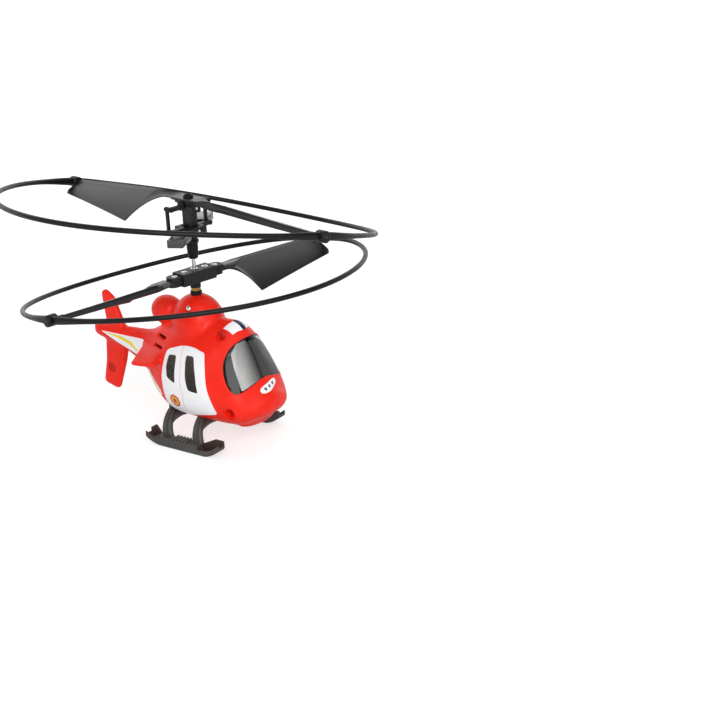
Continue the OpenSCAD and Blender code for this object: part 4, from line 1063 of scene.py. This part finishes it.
for side, word, body in ((-1, "a", "starboard_link"), (1, "b", "port_link")):
    eyes = [at(rod("x", 2.7, 1.7, 3.2), 0, 0, z) for z in (0, LINK_DROP)]
    bar = union([block(1.7, 3.2, -0.7, 0.7, 0, LINK_DROP)] + eyes)
    cut(bar, *[at(rod("x", 1.52, 0, 6), 0, 0, z) for z in (0, LINK_DROP)])
    place = ON_UPPER @ shift(0, side * LINK_OFFSET, FLYBAR_Z + LINK_RISE)
    in_black(moved(bar, place), "link_bar_" + word, body, "link_" + word, 0.2)


# ---------- guard rings

def guard_ring(r, sag):
    """Hoop that sags between its two bosses, which lie on the X axis."""
    steps, count = 320, 20
    rings = []
    for a in np.arange(steps) * 2 * pi / steps:
        deeper = 1 + 0.7 * abs(cos(a)) ** 60
        z0 = -sag * sin(a) ** 2
        ring = []
        for b in np.arange(count) * 2 * pi / count:
            rr = r + ROD_D / 2 * cos(b)
            ring.append((rr * cos(a), rr * sin(a), z0 + ROD_D / 2 * deeper * sin(b)))
        rings.append(ring)
    bosses = [rod("x", BOSS_D, s * r - BOSS_W / 2, s * r + BOSS_W / 2, 0.6, 48) for s in (-1, 1)]
    bores = [rod("x", PIN_D + 2 * PIN_PLAY, s * r - BOSS_W, s * r + BOSS_W) for s in (-1, 1)]
    return cut(union([skin(rings, closed=True)] + bosses), *bores)


LOWER_HEAD = ON_LOWER @ shift(0, 0, LOWER_Z)
for word, r, sag, place in (("upper", UPPER_R, UPPER_SAG, HEAD @ turn("X", UPPER_TILT)),
                            ("lower", LOWER_R, LOWER_SAG, LOWER_HEAD @ turn("X", LOWER_TILT))):
    finish(moved(guard_ring(r, sag), place), word + "_guard_hoop", word + "_guard", RING_BLACK,
           (word + "_ring",))

# ---------- studio

FLOOR = material("pale_floor", (0.50, 0.50, 0.50), rough=0.8, vary=0.005, bump=0, specular=0.2)
tree = FLOOR.node_tree
# the floor glows less towards the model than towards the camera, so that black plastic stays black
seen = tree.nodes.new("ShaderNodeLightPath").outputs["Is Camera Ray"]
near_glow = map_range(tree, seen, 0, 1, 0.2, 0.62)
# and more with distance, so that it fades to white
reach = tree.nodes.new("ShaderNodeVectorMath")
reach.operation = "LENGTH"
tree.links.new(tree.nodes.new("ShaderNodeNewGeometry").outputs["Position"], reach.inputs[0])
glow = map_range(tree, reach.outputs["Value"], 0.15, 1.2, near_glow, 1)
shader = tree.nodes["Principled BSDF"]
shader.inputs["Emission Color"].default_value = (1, 1, 1, 1)
tree.links.new(glow, shader.inputs["Emission Strength"])

CAM_AZ, CAM_EL, CAM_DISTANCE = radians(41.82), radians(16), 0.8
PAN, TILT, ROLL = radians(5.94), radians(-4.46), radians(4.41)
FLOOR_TURN = radians(131.8)
FLOOR_REACH, BEND_R, WALL_TOP = 1.6, 0.8, 4.0

side_view = [(-2.0, 0.0), (FLOOR_REACH, 0.0)]
for t in np.linspace(0.1, pi / 2, 16):
    side_view.append((FLOOR_REACH + BEND_R * sin(t), BEND_R - BEND_R * cos(t)))
side_view.append((FLOOR_REACH + BEND_R, WALL_TOP))
floor_mesh = bpy.data.meshes.new("studio_floor")
verts = [(x, y, z) for x, z in side_view for y in (-4.0, 4.0)]
floor_mesh.from_pydata(verts, [], [(i, i + 1, i + 3, i + 2) for i in range(0, len(verts) - 2, 2)])
floor_mesh.materials.append(FLOOR)
floor_mesh.shade_smooth()
floor = linked("studio_floor", floor_mesh)
floor.rotation_euler = (0, 0, FLOOR_TURN)


def swing(a, b, angle):
    """Two directions turned in their own plane."""
    return a * cos(angle) - b * sin(angle), a * sin(angle) + b * cos(angle)


back = Vector((cos(CAM_EL) * sin(CAM_AZ), -cos(CAM_EL) * cos(CAM_AZ), sin(CAM_EL)))
right, ahead = Vector((cos(CAM_AZ), sin(CAM_AZ), 0)), -back
up = right.cross(ahead)
right, ahead = swing(right, ahead, PAN)
up, ahead = swing(up, ahead, TILT)
right, up = swing(right, up, ROLL)
camera = linked("camera", bpy.data.cameras.new("camera"))
camera.data.sensor_width = 36
camera.data.lens = 75.88
camera.data.clip_start = 0.01
camera.matrix_world = (Matrix.Translation(Vector((0, 0, 0.1)) + back * CAM_DISTANCE)
                       @ Matrix((right, up, -ahead)).transposed().to_4x4())
bpy.context.scene.camera = camera

# name, place, aim, width and height, power
for name, place, target, size, power in (
        ("overhead_softbox", (0.1, -0.1, 1.3), (0, 0, 0), (1.4, 1.4), 3.5),
        ("front_softbox", (0.74, -0.82, 0.68), (0, 0, 0.09), (1.1, 0.75), 12),
        ("left_softbox", (-0.45, -0.95, 0.6), (0, 0, 0.09), (0.6, 0.6), 2),
        ("right_softbox", (1.1, 0.1, 0.7), (0, 0, 0.09), (0.6, 0.6), 2)):
    light = bpy.data.lights.new(name, "AREA")
    light.shape = "RECTANGLE"
    light.size, light.size_y = size
    light.energy = power
    lamp = linked(name, light)
    lamp.location = place
    lamp.rotation_euler = (Vector(target) - Vector(place)).to_track_quat("-Z", "Y").to_euler()

world = bpy.data.worlds.new("studio_world")
world.use_nodes = True
tree = world.node_tree
facing = tree.nodes.new("ShaderNodeVectorMath")
facing.operation = "DOT_PRODUCT"
facing.inputs[1].default_value = tuple(back)
tree.links.new(tree.nodes.new("ShaderNodeTexCoord").outputs["Generated"], facing.inputs[0])
# dimmer on the camera's side, and plain white where the camera sees it
dim = map_range(tree, facing.outputs["Value"], -0.5, 0.3, 0.6, 0.1)
seen = tree.nodes.new("ShaderNodeLightPath").outputs["Is Camera Ray"]
tree.links.new(map_range(tree, seen, 0, 1, dim, 1), tree.nodes["Background"].inputs["Strength"])
tree.nodes["Background"].inputs["Color"].default_value = (0.96, 0.98, 1, 1)
bpy.context.scene.world = world
bpy.context.scene.view_settings.view_transform = "Standard"
